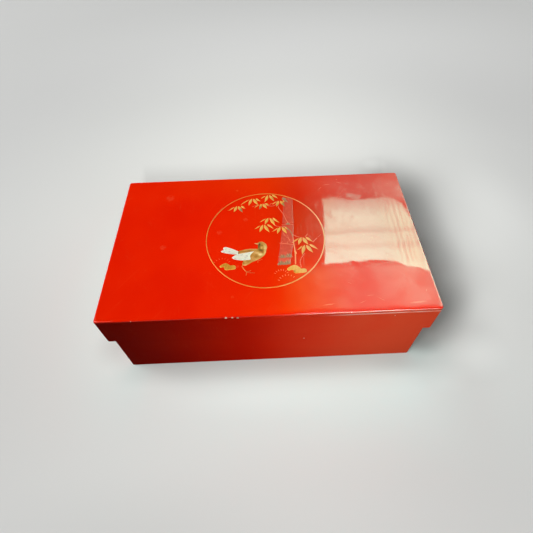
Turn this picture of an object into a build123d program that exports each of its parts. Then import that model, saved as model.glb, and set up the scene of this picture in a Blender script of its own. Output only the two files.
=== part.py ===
"""A lacquered box for papers and keepsakes, with a lift-off lid that drops over the walls.

The box and its lid are thin boards. Each has four boards mitred into a frame, with wooden slips
let across every corner. The lid's panel is rebated over its frame. The bottom board sits in a
rebate of the walls and is pegged through them. A gold ring on the lid holds bamboo, stones, grass
and a small bird whose wing and tail are shell, let into the panel.

+Z is up, +X runs along the length, and -Y is the front. The origin is the middle of the foot rim.
All sizes are millimetres.
"""

import os
from math import sqrt

from build123d import *

# Outside sizes
LID_LENGTH = 260.0
LID_WIDTH = 147.0
BOX_HEIGHT = 93.0  # table to lid top
LID_DEPTH = 33.5  # lid's lower edge to lid top

# Lid boards
LID_PANEL = 4.5  # thickness of the lid's panel
LID_RAIL = 2.7  # thickness of the lid's four rails
LID_REBATE = 1.0  # depth of the step under the panel's edge, where the rails seat
LID_CLEARANCE = 0.4  # gap all round between the rails and the walls
LID_CORNER = 2.5  # radius of the lid's upright corners
LID_EDGE = 1.3  # radius round the lid's top
LID_LIP = 0.9  # radius along the rails' lower edges
JOINT_LINE = 0.15  # chamfer each side of the line where panel and rails meet

# Box boards
WALL = 4.5  # thickness of the four walls
WALL_CORNER = 2.0  # radius of the box's upright corners
RIM_EDGE = 0.9  # radius along the walls' top
FOOT_EDGE = 1.0  # radius round the foot rim
BOTTOM = 4.0  # thickness of the bottom board
BOTTOM_LIFT = 0.8  # how far the bottom board's underside stays above the foot rim
BOTTOM_REBATE = 2.0  # how far the bottom board's seat reaches into each wall
GLUE_GAP = 0.05  # gap for glue round the lid's panel, the bottom board and the pegs

# Slips across the mitres
SLIP = 1.0  # thickness of a slip
SLIP_COVER = 0.5  # wood left between a slip and the inside corner
COAT = 0.3  # filler and lacquer over the ends of slips and pegs
LID_SLIPS = 2  # slips at each corner of the lid
WALL_SLIPS = 4  # slips at each corner of the box

# Pegs through the walls into the bottom board
PEG_RADIUS = 0.7
PEG_LENGTH = 11.0
LONG_PEGS = 6  # pegs along the front and the back
SHORT_PEGS = 4  # pegs along each end
PEG_END = 18.0  # from the box's corner to the first peg

# Gold and shell on the lid
RING_RADIUS = 50.5  # to the middle of the gold line
RING_LINE = 1.0
RELIEF = 0.15  # height of the gold
WASH = 0.05  # height of the thin, worn gold on the thick cane
PICTURE_GAP = 0.3  # least gap between the picture and the ring
SHELL_BED = 0.3  # depth of the shell's bed in the panel
SHELL_PROUD = 0.1  # height of the shell above the panel
LEAF_LENGTH = 9.4
LEAF_WIDTH = 2.9
CANE = 0.9  # width of the young cane
TWIG = 0.35  # width of a twig, and of the bird's legs and toes
STONE_LENGTH = 10.5
STONE_WIDTH = 5.2
BLADE_LENGTH = 1.6  # length of one grass stroke
BLADE_WIDTH = 0.3
BLADES = 7  # strokes in a tuft of grass
TUFT_RADIUS = 4.5  # from the root of a tuft to its strokes
TUFT_START = 30  # direction of a tuft's first stroke, in degrees from the right
TUFT_SPREAD = 120  # degrees from its first stroke to its last

# The picture's places, in shares of the ring's radius from its middle: right, then up
SPRAYS = (  # where each spray hangs from, its turn in degrees and its size
    (-0.50, 0.69, -3, 0.92),
    (-0.23, 0.87, 2, 1.0),
    (-0.05, 0.73, 7, 0.86),
    (0.09, 0.93, -2, 0.96),
    (0.28, 0.79, 5, 0.94),
    (0.07, 0.41, -4, 1.0),
    (-0.05, 0.25, 3, 0.94),
    (0.27, 0.19, 1, 0.96),
    (0.61, -0.06, -3, 1.02),
    (0.68, -0.23, 6, 1.0),
)
LEAVES = (  # a spray's leaves: place along its twig, turn from straight down, length and width
    (-0.24, -48, 0.98, 0.36),
    (-0.08, -9, 0.82, 1.0),
    (0.12, 25, 1.0, 1.0),
    (0.34, 47, 0.72, 0.72),
)
LEAF_CURVE = (  # the two middle points of a leaf's edge: shares of its width and of its length
    (0.4, -0.15),
    (0.9, -0.45),
)
TWIGS = (  # start, a point on the way, and end
    ((-0.52, 0.70), (-0.38, 0.80), (-0.22, 0.88)),
    ((-0.22, 0.88), (0.00, 0.90), (0.28, 0.80)),
    ((0.28, 0.80), (0.41, 0.48), (0.47, 0.02)),
    ((-0.06, 0.26), (0.02, 0.35), (0.08, 0.41)),
    ((0.08, 0.41), (0.26, 0.22), (0.47, 0.02)),
    ((0.47, 0.02), (0.60, -0.04), (0.74, 0.03)),
    ((0.69, -0.22), (0.62, -0.43), (0.57, -0.64)),
)
CANES = (((0.47, 0.02), (0.475, -0.30), (0.465, -0.60)),)
SPRIGS = (  # small dark sprays at the thick cane's joints: place, turn and size
    (0.44, 0.84, 20, 0.75),
    (0.43, 0.27, -8, 0.55),
    (0.32, -0.39, -4, 0.6),
    (0.29, -0.53, 6, 0.6),
)
CULM_TOP = (0.445, 0.90, 0.075)  # the thick cane's middle line and half width, at its top
CULM_FOOT = (0.280, -0.585, 0.105)  # and at its foot
CULM_JOINTS = (0.24, -0.16, -0.43)  # heights of its joints
CULM_RIDGE = 0.02  # how far a joint's ridge stands out past the cane on each side
STONES = (  # middle of each stone, and its size against the largest
    (0.43, -0.65, 1.0),
    (0.53, -0.72, 0.98),
    (-0.68, -0.57, 0.8),
    (-0.60, -0.62, 0.84),
)
STONE_FEET = (0.34, -0.18, 0.16)  # a stone's two lower rounds: out, up and radius, in its own shares
STONE_DOME = (0.06, 0.32, 0.44)  # the oval of its top: up, half length and half width
TUFTS = ((-0.68, -0.52), (0.22, -0.78), (0.26, -0.88))

# The bird, drawn as rounds in the same shares, each with a radius, and the hulls that join them
HEAD = (-0.085, -0.195, 0.080)
NAPE = (-0.070, -0.270, 0.062)
BREAST = (-0.130, -0.360, 0.110)
BELLY = (-0.210, -0.385, 0.100)
RUMP = (-0.450, -0.325, 0.026)
SHANK = (-0.365, -0.555, 0.018)
BEAK = ((-0.145, -0.145), (-0.215, -0.158), (-0.150, -0.190))
LEG = ((-0.365, -0.555), (-0.325, -0.640), (-0.300, -0.720))
TOES = ((-0.205, -0.725), (-0.365, -0.755), (-0.285, -0.790))
WING = (  # shoulder, back, wing tip, the feather steps, lower front corner, front edge
    (-0.215, -0.305),
    (-0.375, -0.340),
    (-0.555, -0.430),
    (-0.500, -0.440),
    (-0.520, -0.462),
    (-0.435, -0.466),
    (-0.440, -0.490),
    (-0.355, -0.490),
    (-0.350, -0.508),
    (-0.270, -0.490),
    (-0.262, -0.390),
)
TAIL_ROOT = (-0.470, -0.338, 0.018)
TAIL_TIPS = ((-0.725, -0.288, 0.028), (-0.682, -0.208, 0.028))

# Sizes that follow
BOX_LENGTH = LID_LENGTH - 2 * (LID_RAIL + LID_CLEARANCE)
BOX_WIDTH = LID_WIDTH - 2 * (LID_RAIL + LID_CLEARANCE)
RIM_HEIGHT = BOX_HEIGHT - LID_PANEL
LIP_HEIGHT = BOX_HEIGHT - LID_DEPTH
RAIL_TOP = RIM_HEIGHT + LID_REBATE
BOTTOM_TOP = BOTTOM_LIFT + BOTTOM
SIDES = ("front", "back", "left", "right")
MITRE_REACH = 3  # a mitre's cut runs this many board thicknesses inward, well past the frame's inside

os.makedirs("parts", exist_ok=True)


def save(shape, name):
    """Labels a finished piece and writes it as parts/NAME.step."""
    shape.label = name
    export_step(shape, f"parts/{name}.step")


def slip_levels(low, high, count):
    """The undersides of the slips, evenly spaced between two heights."""
    step = (high - low) / (count + 1)
    return [low + step * (k + 1) - SLIP / 2 for k in range(count)]


def slip_sketch(length, width, corner, board, level):
    """The four slips of one level: a triangle across each corner, kept under the coat."""
    leg = 2 * board - sqrt(2) * SLIP_COVER
    with BuildSketch(Plane.XY.offset(level)) as slips:
        for sx in (-1, 1):
            for sy in (-1, 1):
                x, y = sx * length / 2, sy * width / 2
                Polygon((x, y), (x - sx * leg, y), (x, y - sy * leg), align=None)
        RectangleRounded(length - 2 * COAT, width - 2 * COAT, corner - COAT, mode=Mode.INTERSECT)
    return slips.sketch


def mitre_region(side, length, width, board):
    """The corner points, seen from above, of the region that one board of a frame fills."""
    x, y = length / 2 + board, width / 2 + board
    reach = MITRE_REACH * board
    if side in ("front", "back"):
        points = [(-x, -y), (x, -y), (x - reach, -y + reach), (-x + reach, -y + reach)]
    else:
        points = [(-x, -y), (-x, y), (-x + reach, y - reach), (-x + reach, -y + reach)]
    turn = -1 if side in ("back", "right") else 1
    return [(turn * a, turn * b) for a, b in points]


# The lid's frame, whole, before it is cut into its four rails
with BuildPart() as lid_frame:
    with BuildSketch(Plane.XY.offset(LIP_HEIGHT)):
        RectangleRounded(LID_LENGTH, LID_WIDTH, LID_CORNER)
        Rectangle(LID_LENGTH - 2 * LID_RAIL, LID_WIDTH - 2 * LID_RAIL, mode=Mode.SUBTRACT)
    extrude(amount=RAIL_TOP - LIP_HEIGHT)
    fillet(lid_frame.edges().group_by(Axis.Z)[0], LID_LIP)
    chamfer(lid_frame.faces().sort_by(Axis.Z)[-1].outer_wire().edges(), JOINT_LINE)
    for level in slip_levels(LIP_HEIGHT, RAIL_TOP, LID_SLIPS):
        add(slip_sketch(LID_LENGTH, LID_WIDTH, LID_CORNER, LID_RAIL, level))
        extrude(amount=SLIP, mode=Mode.SUBTRACT)

for side in SIDES:
    with BuildPart() as lid_rail:
        add(lid_frame.part)
        with BuildSketch(Plane.XY.offset(LIP_HEIGHT)):
            Polygon(*mitre_region(side, LID_LENGTH, LID_WIDTH, LID_RAIL), align=None)
        extrude(amount=LID_DEPTH, mode=Mode.INTERSECT)
    save(lid_rail.part, f"lid_{side}_rail")

with BuildPart() as lid_slips:
    for level in slip_levels(LIP_HEIGHT, RAIL_TOP, LID_SLIPS):
        add(slip_sketch(LID_LENGTH, LID_WIDTH, LID_CORNER, LID_RAIL, level))
        extrude(amount=SLIP)
save(lid_slips.part, "lid_corner_slips")


# The pegs that hold the bottom board, along each wall
def peg_row(radius, plane, span, count):
    """A row of pegs that start just under a wall's face and run inward."""
    with BuildPart() as row:
        with BuildSketch(plane):
            with GridLocations((span - 2 * PEG_END) / (count - 1), 0, count, 1):
                Circle(radius)
        extrude(amount=PEG_LENGTH)
    return row.part


def all_pegs(radius):
    """The pegs of the four walls, each with this radius."""
    x, y, z = BOX_LENGTH / 2 - COAT, BOX_WIDTH / 2 - COAT, BOTTOM_LIFT + BOTTOM / 2
    rows = []
    for sign in (-1, 1):
        long_side = Plane((0, sign * y, z), x_dir=(1, 0, 0), z_dir=(0, -sign, 0))
        short_side = Plane((sign * x, 0, z), x_dir=(0, 1, 0), z_dir=(-sign, 0, 0))
        rows.append(peg_row(radius, long_side, BOX_LENGTH, LONG_PEGS))
        rows.append(peg_row(radius, short_side, BOX_WIDTH, SHORT_PEGS))
    return rows


peg_holes = all_pegs(PEG_RADIUS + GLUE_GAP)

# The walls' frame, whole, before it is cut into its four walls
with BuildPart() as wall_frame:
    with BuildSketch():
        RectangleRounded(BOX_LENGTH, BOX_WIDTH, WALL_CORNER)
        Rectangle(BOX_LENGTH - 2 * WALL, BOX_WIDTH - 2 * WALL, mode=Mode.SUBTRACT)
    extrude(amount=RIM_HEIGHT)
    with BuildSketch():
        seat = WALL - BOTTOM_REBATE
        Rectangle(BOX_LENGTH - 2 * seat, BOX_WIDTH - 2 * seat)
    extrude(amount=BOTTOM_TOP, mode=Mode.SUBTRACT)
    fillet(wall_frame.edges().group_by(Axis.Z)[-1], RIM_EDGE)
    fillet(wall_frame.faces().sort_by(Axis.Z)[0].outer_wire().edges(), FOOT_EDGE)
    for level in slip_levels(BOTTOM_TOP, RIM_HEIGHT, WALL_SLIPS):
        add(slip_sketch(BOX_LENGTH, BOX_WIDTH, WALL_CORNER, WALL, level))
        extrude(amount=SLIP, mode=Mode.SUBTRACT)
    add(peg_holes, mode=Mode.SUBTRACT)

for side in SIDES:
    with BuildPart() as wall:
        add(wall_frame.part)
        with BuildSketch():
            Polygon(*mitre_region(side, BOX_LENGTH, BOX_WIDTH, WALL), align=None)
        extrude(amount=BOX_HEIGHT, mode=Mode.INTERSECT)
    save(wall.part, f"{side}_wall")

with BuildPart() as wall_slips:
    for level in slip_levels(BOTTOM_TOP, RIM_HEIGHT, WALL_SLIPS):
        add(slip_sketch(BOX_LENGTH, BOX_WIDTH, WALL_CORNER, WALL, level))
        extrude(amount=SLIP)
save(wall_slips.part, "wall_corner_slips")

with BuildPart() as bottom_panel:
    with BuildSketch(Plane.XY.offset(BOTTOM_LIFT)):
        seat = WALL - BOTTOM_REBATE + GLUE_GAP
        Rectangle(BOX_LENGTH - 2 * seat, BOX_WIDTH - 2 * seat)
    extrude(amount=BOTTOM)
    add(peg_holes, mode=Mode.SUBTRACT)
save(bottom_panel.part, "bottom_panel")

with BuildPart() as bottom_pegs:
    add(all_pegs(PEG_RADIUS))
save(bottom_pegs.part, "bottom_pegs")


# The picture's shapes, drawn flat
def at(place):
    """A place or a round of the picture in millimetres."""
    return tuple(RING_RADIUS * share for share in place)


def hull(*rounds):
    """The outline that a string would take round some circles, each given by middle and radius."""
    with BuildSketch() as outline:
        for x, y, radius in map(at, rounds):
            with Locations((x, y)):
                Circle(radius)
        make_hull()
    return outline.sketch


def strokes(paths, width):
    """Strokes of even width, each an arc through three places of the picture."""
    with BuildSketch() as drawn:
        for path in paths:
            with BuildLine() as line:
                ThreePointArc(*map(at, path))
            trace(line.line, width)
    return drawn.sketch


def leaf(length, width):
    """A bamboo leaf that hangs from the origin, widest two fifths of the way to its long point."""
    (neck, high), (belly, low) = [(across * width, along * length) for across, along in LEAF_CURVE]
    with BuildSketch() as blade:
        with BuildLine():
            Bezier((0, 0), (-neck, high), (-belly, low), (0, -length))
            Bezier((0, -length), (belly, low), (neck, high), (0, 0))
        make_face()
    return blade.sketch


def culm_at(height):
    """The left edge, middle and right edge of the thick cane at a height, all in shares."""
    part = (height - CULM_FOOT[1]) / (CULM_TOP[1] - CULM_FOOT[1])
    middle = CULM_FOOT[0] + part * (CULM_TOP[0] - CULM_FOOT[0])
    half = CULM_FOOT[2] + part * (CULM_TOP[2] - CULM_FOOT[2])
    return middle - half, middle, middle + half


def stone(length, width):
    """A low stone round the origin: a domed top over a flat foot."""
    foot_out, foot_up, foot_radius = STONE_FEET
    dome_up, dome_length, dome_width = STONE_DOME
    with BuildSketch() as lump:
        for sign in (-1, 1):
            with Locations((sign * foot_out * length, foot_up * width)):
                Circle(foot_radius * length)
        with Locations((0, dome_up * width)):
            Ellipse(dome_length * length, dome_width * width)
        make_hull()
    return lump.sketch


with BuildSketch() as wing:
    shoulder, back, tip, *steps, under, front = map(at, WING)
    with BuildLine():
        ThreePointArc(shoulder, back, tip)
        Polyline(tip, *steps, under)
        ThreePointArc(under, front, shoulder)
    make_face()

with BuildSketch() as tail:
    for tail_tip in TAIL_TIPS:
        add(hull(TAIL_ROOT, tail_tip))
    add(wing.sketch, mode=Mode.SUBTRACT)

with BuildSketch() as bird:
    for rounds in ((HEAD, NAPE), (NAPE, BREAST), (BREAST, RUMP), (BREAST, BELLY), (BELLY, SHANK)):
        add(hull(*rounds))
    Polygon(*map(at, BEAK), align=None)
    add(strokes([LEG], TWIG))
    with BuildLine():
        for toe in TOES:
            Line(at(LEG[-1]), at(toe))
    trace(line_width=TWIG)


def sprays(places):
    """The leaves of some sprays, each given by its place, its turn and its size."""
    with BuildSketch() as drawn:
        for x, y, turn, size in places:
            for along, lean, length, width in LEAVES:
                foot = Location((size * along * LEAF_LENGTH, 0), lean)
                with Locations(Location(at((x, y)), turn) * foot):
                    add(leaf(size * length * LEAF_LENGTH, size * width * LEAF_WIDTH))
    return drawn.sketch


leaves = sprays(SPRAYS)
sprigs = sprays(SPRIGS)

with BuildSketch() as stones:
    for x, y, share in STONES:
        with Locations(at((x, y))):
            add(stone(share * STONE_LENGTH, share * STONE_WIDTH))

with BuildSketch() as stems:
    add(strokes(TWIGS, TWIG))
    add(strokes(CANES, CANE))
    for height in CULM_JOINTS:
        left, middle, right = culm_at(height)
        start, end = (left - CULM_RIDGE, height), (right + CULM_RIDGE, height)
        add(strokes([(start, (middle, height - CULM_RIDGE), end)], TWIG))

with BuildSketch() as culm:
    left, _, right = culm_at(CULM_TOP[1])
    low_left, _, low_right = culm_at(CULM_FOOT[1])
    top, foot = CULM_TOP[1], CULM_FOOT[1]
    corners = [(left, top), (right, top), (low_right, foot), (low_left, foot)]
    Polygon(*map(at, corners), align=None)

with BuildSketch() as grass:
    for tuft in TUFTS:
        with Locations(at(tuft)):
            with PolarLocations(TUFT_RADIUS, BLADES, TUFT_START, TUFT_SPREAD, endpoint=True):
                Rectangle(BLADE_LENGTH, BLADE_WIDTH)


def raised(shape, covers, height=RELIEF):
    """A layer of gold: the shape inside the ring, less what lies over it, with its height."""
    with BuildPart() as gold:
        with BuildSketch(Plane.XY.offset(BOX_HEIGHT)):
            add(shape)
            Circle(RING_RADIUS - RING_LINE / 2 - PICTURE_GAP, mode=Mode.INTERSECT)
            for cover in covers:
                add(cover, mode=Mode.SUBTRACT)
        extrude(amount=height)
    return gold.part


with BuildPart() as gold_ring:
    with BuildSketch(Plane.XY.offset(BOX_HEIGHT)):
        Circle(RING_RADIUS + RING_LINE / 2)
        Circle(RING_RADIUS - RING_LINE / 2, mode=Mode.SUBTRACT)
    extrude(amount=RELIEF)
save(gold_ring.part, "gold_ring")

shells = [wing.sketch, tail.sketch]
save(raised(bird.sketch, shells), "gold_bird")
save(raised(leaves, []), "gold_leaves")
save(raised(stones.sketch, []), "gold_stones")
save(raised(sprigs, [leaves, stones.sketch]), "dark_sprigs")
plants = [leaves, stones.sketch, sprigs]
save(raised(stems.sketch, plants), "gold_stems")
plants.append(stems.sketch)
save(raised(grass.sketch, plants), "gold_grass")
plants.append(grass.sketch)
save(raised(culm.sketch, plants, WASH), "worn_culm")

for name, shell in (("shell_wing", wing), ("shell_tail", tail)):
    with BuildPart() as inlay:
        with BuildSketch(Plane.XY.offset(BOX_HEIGHT - SHELL_BED)):
            add(shell.sketch)
        extrude(amount=SHELL_BED + SHELL_PROUD)
    save(inlay.part, name)

# The lid's panel, with its step over the rails and the shell's beds
with BuildPart() as lid_panel:
    with BuildSketch(Plane.XY.offset(RIM_HEIGHT)):
        seat = LID_RAIL + GLUE_GAP
        Rectangle(LID_LENGTH - 2 * seat, LID_WIDTH - 2 * seat)
    extrude(amount=LID_PANEL)
    with BuildSketch(Plane.XY.offset(RAIL_TOP)):
        RectangleRounded(LID_LENGTH, LID_WIDTH, LID_CORNER)
    extrude(amount=LID_PANEL - LID_REBATE)
    fillet(lid_panel.faces().sort_by(Axis.Z)[-1].outer_wire().edges(), LID_EDGE)
    ledge = lid_panel.faces().filter_by(Axis.Z).sort_by(Axis.Z)[1]
    chamfer(ledge.outer_wire().edges(), JOINT_LINE)
    with BuildSketch(Plane.XY.offset(BOX_HEIGHT - SHELL_BED)):
        add(shells)
    extrude(amount=SHELL_BED, mode=Mode.SUBTRACT)
save(lid_panel.part, "lid_panel")
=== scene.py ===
# %% [markdown]
# # A red lacquer box with a gold and shell picture
# The real object is a wooden letter box: thin boards, mitred at the corners, under a thick skin of
# vermilion lacquer that was polished until it mirrors the room. The lid drops over the walls. On its
# top a gold ring holds bamboo, stones, grass and a small bird whose wing and tail are shell.
#
# The boards come from the CAD model and are already right in shape, so this file gives them their
# lacquer. The picture is made anew as low domed strokes, because gold and shell catch the light on
# their curves, and the CAD solids of the picture are flat.

import math
from functools import reduce

import bpy
import numpy as np
from mathutils import Matrix, Vector


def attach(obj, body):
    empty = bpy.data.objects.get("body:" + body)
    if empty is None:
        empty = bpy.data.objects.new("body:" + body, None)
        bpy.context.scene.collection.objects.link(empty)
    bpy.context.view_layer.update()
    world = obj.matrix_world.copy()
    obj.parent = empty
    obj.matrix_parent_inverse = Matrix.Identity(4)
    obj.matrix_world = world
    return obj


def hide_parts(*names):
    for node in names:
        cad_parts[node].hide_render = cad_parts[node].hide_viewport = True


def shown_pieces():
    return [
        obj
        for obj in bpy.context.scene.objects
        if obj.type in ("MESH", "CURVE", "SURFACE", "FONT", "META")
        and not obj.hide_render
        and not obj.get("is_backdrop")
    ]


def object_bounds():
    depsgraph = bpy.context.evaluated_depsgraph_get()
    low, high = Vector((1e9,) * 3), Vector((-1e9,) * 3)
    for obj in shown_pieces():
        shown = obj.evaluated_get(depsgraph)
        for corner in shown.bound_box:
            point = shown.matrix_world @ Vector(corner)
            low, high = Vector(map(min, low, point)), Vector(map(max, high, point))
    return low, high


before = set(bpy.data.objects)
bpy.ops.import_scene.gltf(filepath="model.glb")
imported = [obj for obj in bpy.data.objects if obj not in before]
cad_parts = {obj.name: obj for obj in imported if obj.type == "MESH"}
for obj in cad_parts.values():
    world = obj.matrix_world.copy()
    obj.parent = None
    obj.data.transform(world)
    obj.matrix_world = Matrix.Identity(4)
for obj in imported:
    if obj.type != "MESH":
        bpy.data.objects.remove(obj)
cad_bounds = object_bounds()
MM = 0.001
LID_TOP = 93.0 * MM
cad_size = [round(v / MM, 1) for v in cad_bounds[1] - cad_bounds[0]]
print(len(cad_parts), "CAD nodes, size in mm:", cad_size)

# %% [markdown]
# ## Camera
# The photograph looks down at the front of the box from about arm's length, with a fairly wide lens:
# the lid's front edge is a third longer in the picture than its back edge. Place, tilt and focal
# length were worked out from the box's own straight edges. The small upward shift stands for the
# crop, because the box doesn't sit in the middle of what the lens saw.

# %% Camera
camera_data = bpy.data.cameras.new("camera")
camera_data.sensor_width = 36.0
camera_data.lens = 26.60
camera_data.shift_x = -0.0040
camera_data.shift_y = -0.0900
camera = bpy.data.objects.new("camera", camera_data)
bpy.context.scene.collection.objects.link(camera)
CAMERA_PLACE = Vector((-0.0012, -0.2068, 0.3602))
turn, tilt, roll = (math.radians(angle) for angle in (-1.08, 40.37, -1.48))
camera.matrix_world = (
    Matrix.Translation(CAMERA_PLACE)
    @ Matrix.Rotation(turn, 4, "Z")
    @ Matrix.Rotation(tilt, 4, "X")
    @ Matrix.Rotation(roll, 4, "Z")
)
bpy.context.scene.camera = camera
bpy.context.scene.view_settings.view_transform = "Standard"
print("camera looks down at", round(90 - math.degrees(tilt), 1), "degrees")

# %% [markdown]
# ## Reckoning with material nodes
# A material is a small network of nodes, and most nodes here are sums on numbers. Written out in full
# each takes many lines. So the output of a node is wrapped in a Value, which can be added and
# multiplied as a number can, and each such step adds one node. A mask is a value from 0 to 1: a * b
# is 1 where both are, and a | b is the larger of the two. put() adds any other kind of node.

# %% Values that add their own nodes


class Value:
    """An output of a node. Each sum on it adds a Math node to its tree."""

    def __init__(self, tree, socket):
        self.tree = tree
        self.socket = socket

    def calc(self, operation, other=0.0):
        """One Math node on this value and another value or number."""
        return put(self.tree, "Math", {0: self, 1: other}, operation=operation)

    def __add__(self, other):
        return self.calc("ADD", other)

    def __sub__(self, other):
        return self.calc("SUBTRACT", other)

    def __mul__(self, other):
        return self.calc("MULTIPLY", other)

    def __or__(self, other):
        return self.calc("MAXIMUM", other)

    def __abs__(self):
        return self.calc("ABSOLUTE")

    def flipped(self):
        """1 minus this value."""
        return put(self.tree, "Math", {0: 1.0, 1: self}, operation="SUBTRACT")

    def ease(self, low, high, start=0.0, end=1.0):
        """Start below low, end above high, and a smooth S between them."""
        inputs = {"Value": self, "From Min": low, "From Max": high, "To Min": start, "To Max": end}
        return put(self.tree, "MapRange", inputs, interpolation_type="SMOOTHSTEP")


def give(tree, socket, value):
    """Links a Value to a node's input, or sets the input to a number, colour or vector."""
    if isinstance(value, Value):
        tree.links.new(value.socket, socket)
    else:
        socket.default_value = value


def put(tree, kind, inputs=None, out=0, **settings):
    """Adds a node of this kind, gives each named input its value or link, and returns one output."""
    made = tree.nodes.new("ShaderNode" + kind)
    for key, value in settings.items():
        setattr(made, key, value)
    for key, value in (inputs or {}).items():
        give(tree, made.inputs[key], value)
    return Value(tree, made.outputs[out]) if len(made.outputs) else None


# %% The nodes that every finish is built from


def axes(vector):
    """The x, y and z of a vector as three values, in metres on a piece's own coordinates."""
    split = put(vector.tree, "SeparateXYZ", {0: vector}).socket.node
    return [Value(vector.tree, output) for output in split.outputs]


def tint(factor, first, second):
    """The first colour where the factor is 0, the second where it is 1."""
    return put(factor.tree, "Mix", {0: factor, 6: first, 7: second}, out=2, data_type="RGBA")


def cloud(vector, scale, detail=2.0, distortion=0.0):
    """Soft random blotches, from 0 to 1."""
    inputs = {"Vector": vector, "Scale": scale, "Detail": detail, "Distortion": distortion}
    return put(vector.tree, "TexNoise", inputs)


def stretched(vector, scale, turned=0.0):
    """Coordinates turned about the upright axis and then scaled, so that blotches become streaks."""
    turn = {"Vector": vector, "Rotation": (0, 0, math.radians(turned))}
    return put(vector.tree, "Mapping", {"Vector": put(vector.tree, "Mapping", turn), "Scale": scale})


def hairline(vector, scale, turned, width, seed):
    """Thin broken lines: where stretched blotches pass through their middle value."""
    moved = put(vector.tree, "VectorMath", {0: stretched(vector, scale, turned), 1: (seed, seed, 0)})
    middle = abs(cloud(moved, 1.0, 0.0) - 0.5)
    return middle.ease(0.0, width, 1.0, 0.0) * cloud(vector, 55.0 + seed, 1.0).ease(0.48, 0.60)


# %% Spots, ovals and the start and end of a material
def distance(vector, centre):
    """How far a point is from the centre."""
    return put(vector.tree, "VectorMath", {0: vector, 1: centre}, out="Value", operation="DISTANCE")


def oval(vector, centre, reach, turned=0.0, inner=0.0):
    """1 inside a soft oval and 0 outside it, on a level surface. It begins to fall at inner, a share
    of its reach; centre, with its height, and reach are in mm."""
    frame_of_oval = {
        "Vector": vector,
        "Location": tuple(v * MM for v in centre),
        "Rotation": (0, 0, math.radians(turned)),
        "Scale": (reach[0] * MM, reach[1] * MM, 1.0),
    }
    local = put(vector.tree, "Mapping", frame_of_oval, vector_type="TEXTURE")
    away = put(vector.tree, "VectorMath", {0: local}, out="Value", operation="LENGTH")
    return away.ease(inner, 1.0, 1.0, 0.0)


def largest(masks):
    """The largest of some masks at each point."""
    return reduce(Value.__or__, masks)


def start_material(name):
    """An empty material: its node tree, its shader, and this piece's own coordinates."""
    material = bpy.data.materials.new(name)
    material.use_nodes = True
    tree = material.node_tree
    return material, tree, tree.nodes["Principled BSDF"], put(tree, "TexCoord", out=3)


def feed(tree, shader, **sockets):
    """Links outputs or sets values on the shader; a socket's spaces are written as underscores."""
    for key, value in sockets.items():
        give(tree, shader.inputs[key.replace("_", " ")], value)


# %% [markdown]
# ## The vermilion lacquer
# On the real box this is many coats of tree lacquer coloured with cinnabar, ground flat and polished.
# It is one even, very saturated red under a clear mirror skin. It could be a single glossy shader, but
# then it looks like new plastic. So the colour gets slow clouds, small worn spots and chips at the
# places where the box has them, and the clear coat gets slow waves and hairline scratches, which show
# only where it mirrors something bright.
#
# The inside of the box and lid is black lacquer. The boards are single solids, so the same material
# turns black wherever the piece's own coordinates lie inside the walls.

# %% The lacquer's colours
VERMILION = (0.83, 0.0150, 0.0002, 1)
VERMILION_DEEP = (0.78, 0.0105, 0.0002, 1)
# The next red is a painted shade on the lid's top.
PAINTED_SHADE_RED = (0.58, 0.010, 0.0006, 1)
RUBBED = (0.84, 0.085, 0.030, 1)
SCRATCHED = (0.93, 0.22, 0.13, 1)
GROUND = (0.86, 0.66, 0.50, 1)
# The next colour is a painted highlight along the lid panel's joint.
JOINT_HIGHLIGHT = (0.97, 0.64, 0.52, 1)
# The next colour is a painted sheen of light on the front; the one after is a painted shade.
FRONT_SHEEN = (0.81, 0.085, 0.032, 1)
SHADED = (0.30, 0.003, 0.0002, 1)
SOOT = (0.012, 0.010, 0.010, 1)

# %% Places of the lacquer's marks
RUBBED_SPOTS = (  # place in mm, and radius
    (-88, 50, 93, 4.5),
    (-87, -7, 93, 3.0),
    (-40, 6.5, 93, 2.8),
    (-25.5, 56.5, 93, 1.5),
    (-17.5, 20, 93, 2.4),
    (-27.5, -56.7, 93, 1.5),
    (-24, -29.5, 93, 1.6),
)
CHIPS = (  # place in mm, and radius: five on the lid's front edge, two specks lower down
    (-102.0, -73.2, 92.4, 0.35),
    (-32.2, -73.4, 92.0, 1.1),
    (-27.3, -73.4, 91.8, 0.9),
    (-23.4, -73.4, 91.6, 1.0),
    (61.0, -73.3, 92.2, 0.35),
    (95.1, -73.5, 84.4, 0.55),
    (28.6, -70.4, 43.2, 0.6),
)
SCRATCHES = (  # middle on the lid's top in mm, half length, half width and turn in degrees
    (63.6, -48.8, 2.4, 0.30, -32),
    (77.5, -60.2, 4.0, 0.28, 4),
    (85.0, -63.6, 4.2, 0.30, -34),
    (70.5, -65.6, 4.0, 0.30, 22),
    (45.0, -66.5, 6.0, 0.60, 6),
    (53.0, 55.5, 3.2, 0.40, 42),
    (60.0, 60.0, 4.2, 0.45, 4),
    (72.0, 62.0, 3.4, 0.35, -18),
    (70.5, 66.5, 0.8, 0.55, 0),
    (118.0, 58.5, 1.2, 0.30, -48),
    (112.0, -67.6, 8.0, 1.10, 3),
    (121.0, -58.0, 1.6, 0.40, 70),
)

# %% Where the lacquer's marks lie
WALL_FRONT = -70.4 * MM
RAIL_FRONT = -73.5 * MM
PANEL_JOINT = 88.9 * MM


def uneven(place):
    """The coordinates pushed about by up to half a millimetre, so that no mark has a clean edge."""
    noise = put(place.tree, "TexNoise", {"Vector": place, "Scale": 420.0}, out=1)
    push = {0: noise, 1: (1.1 * MM,) * 3, 2: place}
    pushed = put(place.tree, "VectorMath", push, operation="MULTIPLY_ADD")
    return put(place.tree, "VectorMath", {0: pushed, 1: (0.55 * MM,) * 3}, operation="SUBTRACT")


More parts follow.
